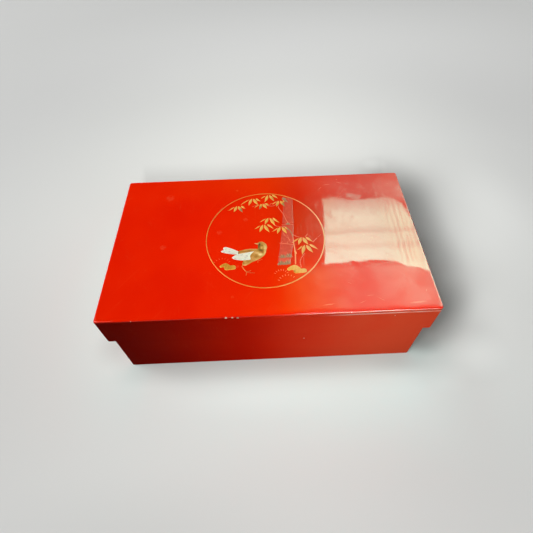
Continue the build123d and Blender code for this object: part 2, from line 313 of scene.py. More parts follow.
def spots(place, rows):
    """1 inside some round spots and 0 outside, by the distance from the centre of each."""
    radii = [row[3] * MM for row in rows]
    away = [distance(place, tuple(v * MM for v in row[:3])) for row in rows]
    return largest(found.ease(0.72 * radius, radius, 1.0, 0.0) for found, radius in zip(away, radii))


def front_faces(place):
    """1 on the front faces, up to the lid's top edge, which the light meets lower at both ends."""
    x, y, z = axes(place)
    turning = z + x.ease(-0.01, 0.03, 0.0, 0.0001) - x.ease(-0.128, -0.09, 0.0003, 0.0)
    return y.calc("LESS_THAN", WALL_FRONT + 0.2 * MM) * turning.ease(0.0921, 0.0926, 1.0, 0.0)


def painted_shade_patch(place):
    """1 where a painted shade darkens the lid's top, on the right behind the middle."""
    x, y, z = axes(place)
    across = x.ease(-0.006, 0.034) * x.ease(0.096, 0.13, 1.0, 0.4)
    along = y.ease(-0.045, 0.005) * y.ease(0.02, 0.065, 1.0, 0.55)
    return across * along * z.calc("GREATER_THAN", LID_TOP - 0.5 * MM)


def joint_highlight_line(place):
    """1 on a painted highlight along the line where the lid's panel meets its frame, on the right
    of the front.
    """
    x, y, z = axes(place)
    line = abs(z - PANEL_JOINT).ease(0.4 * MM, 0.8 * MM, 1.0, 0.0)
    line = line * x.ease(0.035, 0.065) * y.calc("LESS_THAN", RAIL_FRONT + 0.5 * MM)
    return line * cloud(place, 45.0, 2.0).ease(0.38, 0.58, 0.4, 1.0)


# %% The lacquer's red and its skin
HAIRLINES = (  # how much the blotches are stretched, turn in degrees, width, and seed
    ((700, 14, 14), 0, 0.012, 3.1),
    ((420, 16, 16), 38, 0.010, 7.7),
    ((480, 18, 18), -52, 0.010, 1.9),
)


def clouded_red(place):
    """Red with slow clouds, and faint streaks down the upright faces."""
    red = tint(cloud(place, 16.0).ease(0.35, 0.65), VERMILION_DEEP, VERMILION)
    upright = axes(put(place.tree, "NewGeometry", out="Normal"))[2].ease(0.2, 0.6, 1.0, 0.0)
    streaks = cloud(stretched(place, (9, 9, 300)), 1.0, 2.0).ease(0.45, 0.8, 0.0, 0.5)
    return tint(upright * streaks, red, VERMILION_DEEP)


def shaded_front(red, front, place):
    """On the front, a painted shade towards the left end, and a painted pale sheen of reflected
    light in blotches towards the right end.
    """
    x = axes(place)[0]
    red = tint(front * x.ease(-0.15, 0.03, 0.62, 0.0), red, SHADED)
    blotched = cloud(place, 26.0, 4.0, 0.4).ease(0.32, 0.68, 0.84, 1.06)
    return tint(front * x.ease(-0.03, 0.10) * blotched, red, FRONT_SHEEN)


def scored_skin(place, lines):
    """The clear coat's surface: slow waves, with hairline scratches cut into them."""
    waves = {"Height": cloud(place, 38.0, 1.5), "Strength": 1.0, "Distance": 0.06 * MM}
    swell = put(place.tree, "Bump", waves)
    scores = {"Height": lines, "Strength": 0.6, "Distance": -0.01 * MM, "Normal": swell}
    return put(place.tree, "Bump", scores)


# %% Lacquer material


def lacquer(name, inside_x, inside_y, under_z, coat_weight):
    """Red lacquer that is black inside: where |x| < inside_x, |y| < inside_y and z < under_z. The
    marks are laid over the red one after another. The front has hardly any clear coat left."""
    material, tree, shader, place = start_material(name)
    x, y, z = axes(place)
    warped = uneven(place)
    front = front_faces(place)
    rubbed = cloud(place, 34.0, 3.0, 0.6).ease(0.70, 0.80, 0.0, 0.5) | spots(warped, RUBBED_SPOTS)
    rubbed = rubbed * cloud(place, 520.0, 2.0).ease(0.35, 0.62, 0.1, 1.0)
    lines = largest(hairline(place, *row) for row in HAIRLINES)
    scratched = largest(oval(warped, (*row[:2], 93.0), row[2:4], row[4], 0.25) for row in SCRATCHES)
    chipped = spots(warped, CHIPS)
    red = tint(rubbed * 0.32, clouded_red(place), RUBBED)
    # Painted shade on the left of the front, and a painted sheen of light on its right.
    red = shaded_front(red, front, place)
    # A painted shade darkens the lid's top on the right, behind the middle.
    red = tint(painted_shade_patch(place) * 0.92, red, PAINTED_SHADE_RED)
    red = tint(lines * 0.16, red, RUBBED)
    red = tint(scratched * 0.5, red, SCRATCHED)
    # A painted highlight along the panel's joint, on the right of the front.
    red = tint(joint_highlight_line(place), red, JOINT_HIGHLIGHT)
    red = tint(chipped, red, GROUND)
    within = abs(x).calc("LESS_THAN", inside_x) * abs(y).calc("LESS_THAN", inside_y)
    colour = tint(within * z.calc("LESS_THAN", under_z), red, SOOT)
    skin = scored_skin(place, lines)
    coat = front * (0.02 - coat_weight) + coat_weight
    feed(tree, shader, Base_Color=colour, Roughness=(rubbed | chipped).ease(0.0, 1.0, 0.38, 0.6))
    feed(tree, shader, Normal=skin, Specular_IOR_Level=0.0)
    feed(tree, shader, Coat_Weight=coat, Coat_Roughness=0.03, Coat_Normal=skin)
    return material


# %% One lacquer for each kind of board
RAIL_INSIDE = (127.4 * MM, 70.9 * MM)
WALL_INSIDE = (122.5 * MM, 66.0 * MM)
PANEL_UNDERSIDE = 88.7 * MM
ALL = 1.0
panel_lacquer = lacquer("lid_top_lacquer", ALL, ALL, PANEL_UNDERSIDE, coat_weight=1.0)
rail_lacquer = lacquer("lid_side_lacquer", *RAIL_INSIDE, ALL, coat_weight=0.6)
wall_lacquer = lacquer("wall_lacquer", *WALL_INSIDE, ALL, coat_weight=0.6)
print("lacquer:", len(panel_lacquer.node_tree.nodes), "nodes")

# %% [markdown]
# ## Black lacquer, bare wood and bamboo
# The bottom board is black on both faces. The slips across the mitres and the pegs in the bottom
# stay hidden under filler and lacquer, but a repairer would find cypress and bamboo there, so they
# get plain wood finishes with a grain: fine streaks along one axis, made from a stretched noise.

# %% Black lacquer and woods


def black_lacquer():
    """Nearly black, softly glossy, with a faint brown cloud where it has aged."""
    material, tree, shader, place = start_material("black_lacquer")
    aged = cloud(place, 30.0).ease(0.4, 0.7)
    feed(tree, shader, Base_Color=tint(aged, SOOT, (0.022, 0.014, 0.010, 1)), Roughness=0.3)
    feed(tree, shader, Coat_Weight=0.5, Coat_Roughness=0.12)
    return material


def wood(name, light, dark, grain):
    """Two browns mixed by fine streaks along the grain direction."""
    material, tree, shader, place = start_material(name)
    streaks = cloud(stretched(place, grain), 1.0, 3.0).ease(0.35, 0.65)
    feed(tree, shader, Base_Color=tint(streaks, light, dark), Roughness=0.6)
    return material


black = black_lacquer()
cypress = wood("cypress", (0.56, 0.40, 0.24, 1), (0.40, 0.26, 0.14, 1), (60, 60, 900))
bamboo = wood("bamboo", (0.62, 0.47, 0.24, 1), (0.45, 0.31, 0.14, 1), (700, 700, 90))

BOARD_FINISH = {
    "lid_panel": panel_lacquer,
    "bottom_panel": black,
    "bottom_pegs": bamboo,
    "lid_corner_slips": cypress,
    "wall_corner_slips": cypress,
}
for side in ("front", "back", "left", "right"):
    BOARD_FINISH[f"lid_{side}_rail"] = rail_lacquer
    BOARD_FINISH[f"{side}_wall"] = wall_lacquer
for node, finish in BOARD_FINISH.items():
    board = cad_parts[node]
    if not board.material_slots:
        board.data.materials.append(finish)
    for material_slot in board.material_slots:
        material_slot.material = finish
print(len(BOARD_FINISH), "boards and fittings have their finish")

# %% [markdown]
# ## Gold and shell
# The picture on the real lid is sprinkled gold: gold dust strewn into wet lacquer over a raised
# ground, so it is a satin yellow rather than a mirror. In places it is grey-green. Each point of a
# piece carries a number, its tone, that says how bright the gold is there: 1 is fresh gold and 0
# is the dark one. The tone comes from the place in the leaf or feather, which no noise pattern
# could know, and fine noise on top of it makes the dust.

# %% Gold material
WORN_TO_RED = (0.80, 0.16, 0.03, 1)
# A painted sheen of the window's haze on the gold.
PAINTED_HAZE_SHEEN = (0.93, 0.70, 0.70, 1)


def tone_of(tree):
    """The number that each point of a piece carries."""
    return put(tree, "Attribute", out="Fac", attribute_name="tone")


def gold(name, dark, middle, bright, shine=0.22, rough=0.42):
    """Gold dust: tone 0, 0.5 and 1 pick the dark, middle and bright gold, speckles break it up,
    and a painted sheen of the window's haze pales it on the right.
    """
    material, tree, shader, place = start_material(name)
    dust = cloud(place, 2600.0, 1.0)
    level = tone_of(tree) + dust.ease(0.3, 0.7, -0.10, 0.10)
    lower = tint(level * 2.0, (*dark, 1), (*middle, 1))
    colour = tint(level * 2.0 - 1.0, lower, (*bright, 1))
    colour = tint(cloud(place, 240.0, 3.0).ease(0.62, 0.74, 0.0, 0.35), colour, WORN_TO_RED)
    # Paler towards the right of the lid: a painted sheen of the window's haze.
    colour = tint(axes(place)[0].ease(0.012, 0.055, 0.0, 0.2), colour, PAINTED_HAZE_SHEEN)
    grains = put(tree, "Bump", {"Height": dust, "Strength": 0.5, "Distance": 0.02 * MM})
    feed(tree, shader, Base_Color=colour, Metallic=shine, Roughness=rough, Normal=grains)
    feed(tree, shader, Specular_IOR_Level=0.25)
    return material


leaf_gold = gold("leaf_gold", (0.33, 0.23, 0.08), (0.74, 0.38, 0.058), (0.93, 0.56, 0.12))
line_gold = gold("line_gold", (0.62, 0.10, 0.03), (0.75, 0.255, 0.028), (0.97, 0.64, 0.26))
twig_gold = gold("twig_gold", (0.70, 0.13, 0.06), (0.85, 0.25, 0.12), (0.95, 0.53, 0.13))
faint_gold = gold("faint_gold", (0.82, 0.045, 0.006), (0.86, 0.12, 0.030), (0.94, 0.28, 0.13))
stone_gold = gold("stone_gold", (0.46, 0.20, 0.008), (0.77, 0.38, 0.040), (0.98, 0.62, 0.18))
bird_gold = gold("bird_gold", (0.10, 0.045, 0.006), (0.58, 0.215, 0.036), (0.93, 0.56, 0.26), rough=0.36)
dark_gold = gold(
    "dark_gold", (0.17, 0.074, 0.036), (0.35, 0.138, 0.064), (0.48, 0.205, 0.10), shine=0.15, rough=0.5
)
print("seven golds, each of", len(dark_gold.node_tree.nodes), "nodes")


# %% Worn gold wash and shell


def worn_wash():
    """The thick cane: gold dust so thin that the red shows through and makes it pink."""
    material, tree, shader, place = start_material("worn_gold_wash")
    patchy = tone_of(tree) + cloud(place, 300.0, 3.0).ease(0.3, 0.7, -0.25, 0.25)
    colour = tint(patchy.ease(0.0, 1.0), (0.57, 0.022, 0.006, 1), (0.72, 0.066, 0.034, 1))
    feed(tree, shader, Base_Color=colour, Roughness=0.4, Metallic=0.0, Specular_IOR_Level=0.3)
    feed(tree, shader, Coat_Weight=0.8, Coat_Roughness=0.05)
    return material


def shell():
    """White shell: a slow drift between cream, pink and green, and dark engraved lines."""
    material, tree, shader, place = start_material("white_shell")
    drift = cloud(stretched(place, (160, 420, 160), 20), 1.0, 2.0)
    warm = tint(drift.ease(0.3, 0.5), (0.77, 0.80, 0.64, 1), (0.82, 0.79, 0.64, 1))
    colour = tint(drift.ease(0.55, 0.75), warm, (0.79, 0.72, 0.67, 1))
    feed(tree, shader, Base_Color=tint(tone_of(tree), (0.15, 0.12, 0.09, 1), colour))
    feed(tree, shader, Roughness=0.22, Coat_Weight=0.6, Coat_Roughness=0.05)
    return material


def plain(name, colour, rough, coat):
    """A finish of one colour with a faint cloud in it."""
    material, tree, shader, place = start_material(name)
    darker = tuple(0.7 * part for part in colour[:3]) + (1,)
    feed(tree, shader, Base_Color=tint(cloud(place, 900.0), darker, colour))
    feed(tree, shader, Roughness=rough, Coat_Weight=coat)
    return material


wash = worn_wash()
white_shell = shell()
eye_black = plain("eye_black", (0.02, 0.012, 0.008, 1), rough=0.25, coat=0.8)

# %% [markdown]
# ## Domed strokes
# Every leaf, twig, feather edge and toe in the picture is a brush stroke: a middle line with a width
# that swells and tapers. One function makes them all. It carries a closed section along the middle
# line: over the top it is a low dome, and underneath it sinks a hair into the lacquer, so that no
# stroke floats. All strokes of a kind are worked out at once as one array with the axes stroke,
# station along the stroke, and point round the section.

# %% Closed shapes from rings of points
RING_RADIUS = 50.45 * MM
PICTURE_MIDDLE = np.array((-0.45, 0.5)) * MM
LIMIT = RING_RADIUS - 0.7 * MM
SINK = 0.03 * MM


def faces_round(bands, around):
    """Faces of a closed shape whose points are its two poles and then rings of points: bands of
    quads from ring to ring, and a fan of triangles round each pole."""
    here, after = np.arange(around), (np.arange(around) + 1) % around
    rows = np.arange(bands)[:, None] * around + 2
    quads = np.stack([rows + here, rows + after, rows + around + after, rows + around + here], -1)
    last = bands * around + 2
    first_fan = np.stack([np.zeros(around, int), 2 + after, 2 + here], -1)
    last_fan = np.stack([np.ones(around, int), last + here, last + after], -1)
    return quads.reshape(-1, 4), np.concatenate([first_fan, last_fan])


def outward(points, quads, triangles):
    """Turns the faces over if the volume that they enclose comes out negative."""
    corners = np.concatenate([triangles, quads[:, [0, 1, 2]], quads[:, [0, 2, 3]]])
    a, b, c = (points[corners[:, k]] for k in range(3))
    if np.einsum("ij,ij->", a, np.cross(b, c)) < 0:
        return points, quads[:, ::-1], triangles[:, ::-1]
    return points, quads, triangles


def keep_inside_ring(xy):
    """Points past the ring's inner edge are drawn in to it, straight towards the middle."""
    offset = xy - PICTURE_MIDDLE
    reach = np.linalg.norm(offset, axis=-1, keepdims=True)
    return PICTURE_MIDDLE + offset * np.minimum(1.0, LIMIT / np.maximum(reach, 1e-9))


# %% Strokes
SECTION = np.linspace(0, 2 * np.pi, 14, endpoint=False)


def strokes(path, half, height, crease=0.0, power=0.6):
    """Domed strokes. With s from -1 to 1 across a stroke, its top is height x (1 - s^2)^power,
    lowered along the middle by the crease; its underside is a shallow arc, SINK deep."""
    path = np.asarray(path, float)
    count, stations, _ = path.shape
    half = np.broadcast_to(half, (count, stations))
    height = np.broadcast_to(height, (count, stations))
    along = np.gradient(path, axis=1)
    along /= np.maximum(np.linalg.norm(along, axis=-1, keepdims=True), 1e-12)
    sideways = np.stack([-along[..., 1], along[..., 0]], -1)
    s, up = np.cos(SECTION), np.sin(SECTION)
    dome = np.where(up >= 0, np.maximum(1 - s**2, 0) ** power, 0.0)
    dome = dome * (1 - crease * np.exp(-((s / 0.18) ** 2)))
    under = np.where(up < 0, SINK * up, 0.0)
    xy = path[:, :, None] + half[:, :, None, None] * s[:, None] * sideways[:, :, None]
    z = LID_TOP + height[:, :, None] * dome + under
    body = np.concatenate([keep_inside_ring(xy), z[..., None]], -1)[:, 1:-1]
    tips = np.stack([path[:, 0], path[:, -1]], 1)
    tips = np.concatenate([keep_inside_ring(tips), np.full((count, 2, 1), LID_TOP)], -1)
    points = np.concatenate([tips, body.reshape(count, -1, 3)], 1)
    step = np.arange(count)[:, None, None] * points.shape[1]
    quads, triangles = (faces + step for faces in faces_round(stations - 3, len(SECTION)))
    return outward(points.reshape(-1, 3), quads.reshape(-1, 4), triangles.reshape(-1, 3))


def spread_tone(tone, count, stations):
    """The tone of each stroke's stations as one number a point, in the order that strokes() uses."""
    tone = np.broadcast_to(tone, (count, stations))
    body = np.repeat(tone[:, 1:-1], len(SECTION), axis=1)
    return np.concatenate([tone[:, :1], tone[:, -1:], body], 1).ravel()


# %% Mounds: closed low shapes over an outline
def mound(outline, centre, rise, rings=14, sink=SINK):
    """The outline drawn in towards its centre in rings; rise(share, x, y) is the height there, with
    share from 0 at the centre to 1 at the edge. A flat underside closes it."""
    outline, centre = np.asarray(outline, float), np.asarray(centre, float)
    around = len(outline)
    share = np.linspace(0, 1, rings + 1)[1:] ** 0.8
    xy = centre + share[:, None, None] * (outline - centre)
    z = np.broadcast_to(LID_TOP + rise(share[:, None], xy[..., 0], xy[..., 1]), xy.shape[:2])
    top = np.concatenate([xy, z[..., None]], -1).reshape(-1, 3)
    low = np.concatenate([outline, np.full((around, 1), LID_TOP - sink)], -1)
    middle = LID_TOP + rise(np.zeros(1), centre[:1], centre[1:])[0]
    poles = np.array([[*centre, middle], [*centre, LID_TOP - sink]])
    points = np.concatenate([poles, top, low])
    return outward(points, *faces_round(rings, around))


# %% Smooth lines through a few points
def walked(points):
    """How far along a line each of its points is."""
    return np.concatenate([[0], np.cumsum(np.linalg.norm(np.diff(points, axis=0), axis=1))])


def even(points, count):
    """The same closed line with its points spaced evenly."""
    closed = np.concatenate([points, points[:1]])
    steps = walked(closed)
    wanted = np.linspace(0, steps[-1], count, endpoint=False)
    return np.stack([np.interp(wanted, steps, closed[:, k]) for k in (0, 1)], -1)


def place(shares):
    """Shares of the ring's radius, from the ring's middle, to metres."""
    return PICTURE_MIDDLE + RING_RADIUS * np.asarray(shares, float)


def ends_dense(count):
    """Numbers from 0 to 1, close together at both ends, where strokes round off."""
    return (1 - np.cos(np.pi * np.linspace(0, 1, count))) / 2


def rounded(t, steepness):
    """1 along a stroke, falling to 0 at both ends as a circle does; the steeper, the nearer to them."""
    return np.minimum(1, steepness * np.sqrt(t * (1 - t)))


def spans(before, start, end, after, f):
    """Points at shares f of some spans from start to end. The curve leaves start along the line from
    before to end, and arrives along the line from start to after: a cubic with those slopes."""
    square = 2 * before - 5 * start + 4 * end - after
    cube = 3 * start - before - 3 * end + after
    return 0.5 * (2 * start + (end - before) * f + square * f**2 + cube * f**3)


def through(points, t):
    """A smooth open line through some points, at shares t of its length."""
    p = np.asarray(points, float)
    p = np.concatenate([[2 * p[0] - p[1]], p, [2 * p[-1] - p[-2]]])
    steps = walked(p[1:-1])
    u = np.interp(t, steps / steps[-1], np.arange(len(steps)))
    i = np.minimum(u.astype(int), len(steps) - 2)
    return spans(p[i], p[i + 1], p[i + 2], p[i + 3], (u - i)[:, None])


def loop(points, count):
    """A smooth closed line through some points, with its own points spaced evenly."""
    p = np.asarray(points, float)
    u = np.linspace(0, len(p), 24 * len(p), endpoint=False)
    i = u.astype(int)
    at = lambda step: p[(i + step) % len(p)]
    return even(spans(at(-1), at(0), at(1), at(2), (u - i)[:, None]), count)


# %% Pieces from parts
def join(*parts):
    """Several closed shapes as one: their points one after another, their faces renumbered."""
    points, quads, triangles, start = [], [], [], 0
    for p, q, t in parts:
        points.append(p)
        quads.append(q + start)
        triangles.append(t + start)
        start += len(p)
    return np.concatenate(points), np.concatenate(quads), np.concatenate(triangles)


def piece(name, part, material, tone=1.0, stands_for=()):
    """Makes the object on the lid, smooth shaded, with its tones, and hides the CAD nodes that
    it stands for.
    """
    points, quads, triangles = part
    mesh = bpy.data.meshes.new(name)
    mesh.from_pydata(points, [], quads.tolist() + triangles.tolist())
    mesh.shade_smooth()
    mesh.materials.append(material)
    tones = mesh.attributes.new("tone", "FLOAT", "POINT")
    tones.data.foreach_set("value", np.broadcast_to(tone, len(points)).astype(np.float32))
    made = bpy.data.objects.new(name, mesh)
    bpy.context.scene.collection.objects.link(made)
    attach(made, "lid")
    if stands_for:
        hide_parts(*stands_for)
    print(name, len(points), "points,", len(quads) * 2 + len(triangles), "triangles")
    return made


# %% [markdown]
# ## The gold ring
# A line of gold about a millimetre wide, drawn with a compass brush. It could be a torus, but a
# painted line is flat and wide. So its section is a low dome carried round the circle, and the
# width wanders by a few per cent, as a hand's pressure does. The gold is brighter on the right:
# a painted sheen of the window's haze.

# %% Gold ring
ROUND = 720
RING_HALF_WIDTH = 0.44 * MM
WIDER_ON_RIGHT = 0.04 * MM
RING_RISE = 0.15 * MM
angle = np.linspace(0, 2 * np.pi, ROUND, endpoint=False)[:, None]
wander = 1 + 0.07 * np.sin(5 * angle + 1.0) + 0.05 * np.sin(13 * angle) + 0.04 * np.sin(31 * angle + 2.0)
s, up = np.cos(SECTION), np.sin(SECTION)
radius = RING_RADIUS + (RING_HALF_WIDTH + WIDER_ON_RIGHT * np.cos(angle)) * wander * s
rise = np.where(up >= 0, RING_RISE * np.maximum(1 - s**2, 0) ** 0.6, SINK * up)
ring_x, ring_y = PICTURE_MIDDLE[0] + radius * np.cos(angle), PICTURE_MIDDLE[1] + radius * np.sin(angle)
ring_points = np.stack([ring_x, ring_y, LID_TOP + rise + 0 * angle], -1)
around = len(SECTION)
row, column = np.arange(ROUND)[:, None], np.arange(around)
next_row, next_column = (row + 1) % ROUND * around, (column + 1) % around
corners = [row * around + column, row * around + next_column, next_row + next_column, next_row + column]
ring_quads = np.stack(corners, -1).reshape(-1, 4)
turned = angle[:, 0]
# Brighter towards the right: a painted sheen of the window's haze, with a small ripple of tone.
ring_tone_and_sheen = 0.44 + 0.46 * np.maximum(np.cos(turned + 0.25), 0) ** 1.4 + 0.05 * np.sin(23 * turned)
ring = outward(ring_points.reshape(-1, 3), ring_quads, np.zeros((0, 3), int))
piece("ring", ring, line_gold, np.repeat(ring_tone_and_sheen, around), ["gold_ring"])

# %% [markdown]
# ## Bamboo leaves
# A bamboo spray hangs four long leaves from one twig: a thin one seen from its edge, two broad ones,
# and one that is turned half away. Each leaf is narrow at its stalk, broadest before its middle, and
# ends in a long point. The painter repeats this spray, so it is written once, and each spray has
# only its own place and the lengths of its leaves.

# %% Places of the sprays and leaves
SPRAYS = (  # right, up, turn in degrees, and the lengths of its four leaves in mm
    (-0.485, 0.719, 0, (7.9, 7.7, 9.0, 5.4)),
    (-0.209, 0.888, 0, (11.4, 9.1, 9.0, 5.6)),
    (-0.040, 0.752, 4, (6.0, 7.0, 7.2, 4.2)),
    (0.087, 0.965, 0, (6.2, 9.6, 9.2, 7.2)),
    (0.283, 0.810, 0, (5.6, 7.7, 8.3, 3.2)),
    (0.076, 0.408, -3, (7.8, 8.4, 10.0, 8.6)),
    (-0.026, 0.257, -1, (6.8, 8.9, 9.7, 7.4)),
    (0.277, 0.191, -1, (7.3, 8.1, 8.8, 6.0)),
    (0.617, -0.052, -1, (8.6, 8.5, 8.9, 7.9)),
    (0.661, -0.212, 3, (6.8, 10.6, 9.6, 9.0)),
)
LEAF_FEET = ((-2.6, -0.8), (-0.6, -0.1), (0.7, -0.2), (3.4, 0.1))  # where it leaves the twig, in mm
LEAF_LEANS = (-52, -20, 28, 47)  # from straight down, in degrees
LEAF_WIDTHS = (1.0, 2.6, 2.75, 1.85)  # in mm
LEAF_SHOULDERS = (0.8, 0.8, 0.78, 0.62)
BROAD_ON_RIGHT = 1.14
GREYED = {  # number of the spray and of the leaf in it, and how grey its outer part has gone
    (0, 2): 1.0,
    (2, 1): 0.9,
    (3, 2): 0.4,
    (4, 1): 0.35,
    (4, 2): 0.8,
    (4, 3): 0.9,
    (7, 3): 0.9,
}

# %% Leaves


def leaves(sprays, stations=18):
    """The strokes of all leaves of some sprays. With t from stalk to point, the half width is
    w/2 x sin(pi t^b)^1.25. The smaller its shoulder b, the nearer to the stalk a leaf is broadest."""
    x, y, turn = np.array([spray[:3] for spray in sprays], float).T[:, :, None, None]
    length = np.array([spray[3] for spray in sprays])[:, :, None] * MM
    foot_x, foot_y = np.array(LEAF_FEET).T[:, :, None] * MM
    lean, width, shoulder = (np.array(row)[:, None] for row in (LEAF_LEANS, LEAF_WIDTHS, LEAF_SHOULDERS))
    t = ends_dense(stations)
    half = 0.5 * width * MM * np.clip(np.sin(np.pi * t**shoulder), 0, 1) ** 1.25 + 0 * length
    half = half * np.where(x > 0.5, BROAD_ON_RIGHT, 1.0)
    bend = np.random.default_rng(5).uniform(-0.35, 0.35, length.shape) * MM * np.sin(np.pi * t)
    swing, lay = np.radians(turn), np.radians(turn + lean)
    start_x = PICTURE_MIDDLE[0] + RING_RADIUS * x + foot_x * np.cos(swing) - foot_y * np.sin(swing)
    start_y = PICTURE_MIDDLE[1] + RING_RADIUS * y + foot_x * np.sin(swing) + foot_y * np.cos(swing)
    down = length * t
    px = start_x + down * np.sin(lay) + bend * np.cos(lay)
    py = start_y - down * np.cos(lay) + bend * np.sin(lay)
    return np.stack([px, py], -1).reshape(-1, stations, 2), half.reshape(-1, stations), t


path, half, t = leaves(SPRAYS)
greyed = np.array([[GREYED.get((s, k), 0.0)] for s in range(len(SPRAYS)) for k in range(len(LEAF_FEET))])
tone = 0.76 - 0.12 * t - greyed * np.clip(t * 2.4 - 0.6, 0, 0.85)
leaf_part = strokes(path, half, height=0.08 * MM + 0.05 * half, crease=0.3)
leaf_tone = spread_tone(tone, len(path), len(t))
piece("bamboo_leaves", leaf_part, leaf_gold, leaf_tone, ["gold_leaves"])

# %% Dark sprays
TUFTS_OF_LEAVES = (  # foot of each little fan of dark leaves, and its size
    (0.272, -0.456, 1.25),
    (0.372, -0.450, 1.35),
    (0.240, -0.584, 1.20),
    (0.335, -0.584, 1.30),
    (0.405, 0.238, 0.80),
    (0.205, -0.592, 0.80),
    (0.295, -0.590, 0.95),
    (0.368, 0.835, 0.90),
)
FAN = (-84, -62, -38, -16, 6, 30, 56, 80)
t = ends_dense(14)
fans = []
for x, y, size in TUFTS_OF_LEAVES:
    for k, lean in enumerate(FAN):
        reach = size * (2.1 + 1.1 * math.cos(math.radians(lean)) + 0.35 * math.sin(7 * k + 50 * x)) * MM
        way = np.array((math.sin(math.radians(lean)), math.cos(math.radians(lean))))
        fans.append(place((x, y)) + t[:, None] * reach * way)
fan_half = 0.50 * MM * np.sin(np.pi * t) ** 0.8
single = place(through(((0.350, 0.860), (0.400, 0.810), (0.446, 0.748)), t))
branch = place(through(((0.335, 0.205), (0.410, 0.127), (0.450, 0.039), (0.456, -0.045)), t))
branch_half = 0.42 * MM * rounded(t, 4) * (0.6 + 0.4 * np.sin(np.pi * t))
dark_paths = np.array([*fans, single, branch])
dark_halves = np.array([*[fan_half] * len(fans), 0.72 * MM * np.sin(np.pi * t**0.7), branch_half])
fan_tones = [[0.35], [0.6], [0.2], [0.75], [0.15], [0.3], [0.55], [0.4]] * len(TUFTS_OF_LEAVES)
dark_tone = np.array([*fan_tones, [0.25], [0.35]]) + 0.2 * t
piece(
    "dark_sprays",
    strokes(dark_paths, dark_halves, height=0.13 * MM),
    dark_gold,
    spread_tone(dark_tone, *dark_halves.shape),
    ["dark_sprigs"],
)

# %% [markdown]
# ## The thick cane, and the thin canes and twigs
# The thick bamboo cane at the back is only a breath of gold dust, rubbed until the red glows through.
# Its joints are drawn as finer gold lines. The young canes and twigs are single strokes, and
# most of them are rubbed so thin that they look pink.

# %% Thick cane
CULM = (  # height, middle and half width, from the foot up
    (-0.550, 0.284, 0.103),
    (-0.170, 0.355, 0.112),
    (0.245, 0.402, 0.100),
    (0.880, 0.442, 0.086),
)
CULM_JOINTS = (0.245, -0.175, -0.435)
culm_heights, culm_middles, culm_halves = np.array(CULM).T


def culm_at(height):
    """Middle and half width of the thick cane at a height, between its known places."""
    return np.interp(height, culm_heights, culm_middles), np.interp(height, culm_heights, culm_halves)


levels = (culm_heights[-1], *CULM_JOINTS, culm_heights[0])
t = ends_dense(36)
middles, halves = [], []
for high, low in zip(levels[:-1], levels[1:]):
    heights = high + (low - high) * t
    middle, half = culm_at(heights)
    middles.append(place(np.stack([middle, heights], -1)))
    waist = 1 - 0.05 * np.sin(np.pi * t)
    halves.append(RING_RADIUS * half * waist * np.minimum(1, np.sqrt(np.sin(np.pi * t)) * 3.2))
middles, halves = np.array(middles), np.array(halves)
fade = np.array([[0.1], [0.2], [0.4], [0.7]]) + 0.3 * (t - 0.5)
thick_cane = strokes(middles, halves, height=0.04 * MM, power=1.0)
piece("thick_cane", thick_cane, wash, spread_tone(fade, *halves.shape), ["worn_culm"])

# %% Places of the canes, twigs and joint lines
TWIGS = (  # the points of each, half its width in mm, and its tone
    (((-0.217, 0.682), (-0.165, 0.714), (-0.100, 0.748)), 0.15, 0.25),
    (((-0.008, 0.765), (0.085, 0.692), (0.190, 0.701), (0.252, 0.816)), 0.20, 0.35),
    (((0.094, 0.706), (0.135, 0.755), (0.173, 0.725)), 0.18, 0.25),
    (((0.275, 0.800), (0.248, 0.735), (0.262, 0.630)), 0.16, 0.20),
    (((0.250, 0.654), (0.333, 0.483), (0.377, 0.339), (0.419, 0.255)), 0.27, 0.20),
    (((0.085, 0.408), (0.150, 0.300), (0.190, 0.220), (0.277, 0.196)), 0.17, 0.45),
    (((0.277, 0.196), (0.315, 0.205), (0.350, 0.180)), 0.22, 0.40),
    (((0.366, 0.017), (0.390, -0.065), (0.415, -0.153)), 0.18, 0.15),
    (((0.300, 0.060), (0.345, -0.020), (0.420, -0.100)), 0.18, 0.15),
    (((0.468, 0.011), (0.546, -0.038), (0.626, -0.060)), 0.24, 0.25),
    (((0.672, -0.045), (0.693, -0.020), (0.718, 0.015)), 0.28, 0.30),
    (((0.788, -0.165), (0.835, -0.115), (0.872, -0.078)), 0.30, 0.40),
    (((0.884, -0.066), (0.915, -0.035), (0.945, -0.007)), 0.13, 0.20),
    (((0.262, -0.165), (0.270, -0.140), (0.282, -0.120)), 0.16, 0.30),
    (((0.372, -0.178), (0.368, -0.150), (0.376, -0.128)), 0.16, 0.30),
    (((0.286, 0.238), (0.392, 0.247), (0.500, 0.228)), 0.22, 0.15),
    (((0.228, -0.156), (0.348, -0.177), (0.470, -0.199)), 0.24, 0.30),
    (((0.193, -0.425), (0.310, -0.445), (0.440, -0.446)), 0.20, 0.20),
)
CANE = ((0.469, -0.030), (0.469, -0.168), (0.478, -0.330), (0.475, -0.450), (0.465, -0.597))
WAVY = ((0.632, -0.380), (0.567, -0.479), (0.542, -0.560), (0.555, -0.664))
SPROUT = ((0.480, -0.335), (0.492, -0.362), (0.503, -0.400))

# %% Canes, twigs and joint lines


def drawn(rows, height, stations=32):
    """Strokes with round ends, one for each row of points, half width in mm, and tone."""
    t = ends_dense(stations)
    paths = np.array([place(through(points, t)) for points, _, _ in rows])
    widths, tones = (np.array([[row[k]] for row in rows]) for k in (1, 2))
    half = MM * widths * rounded(t, 5)
    return strokes(paths, half, height), spread_tone(tones + 0 * t, len(rows), stations)


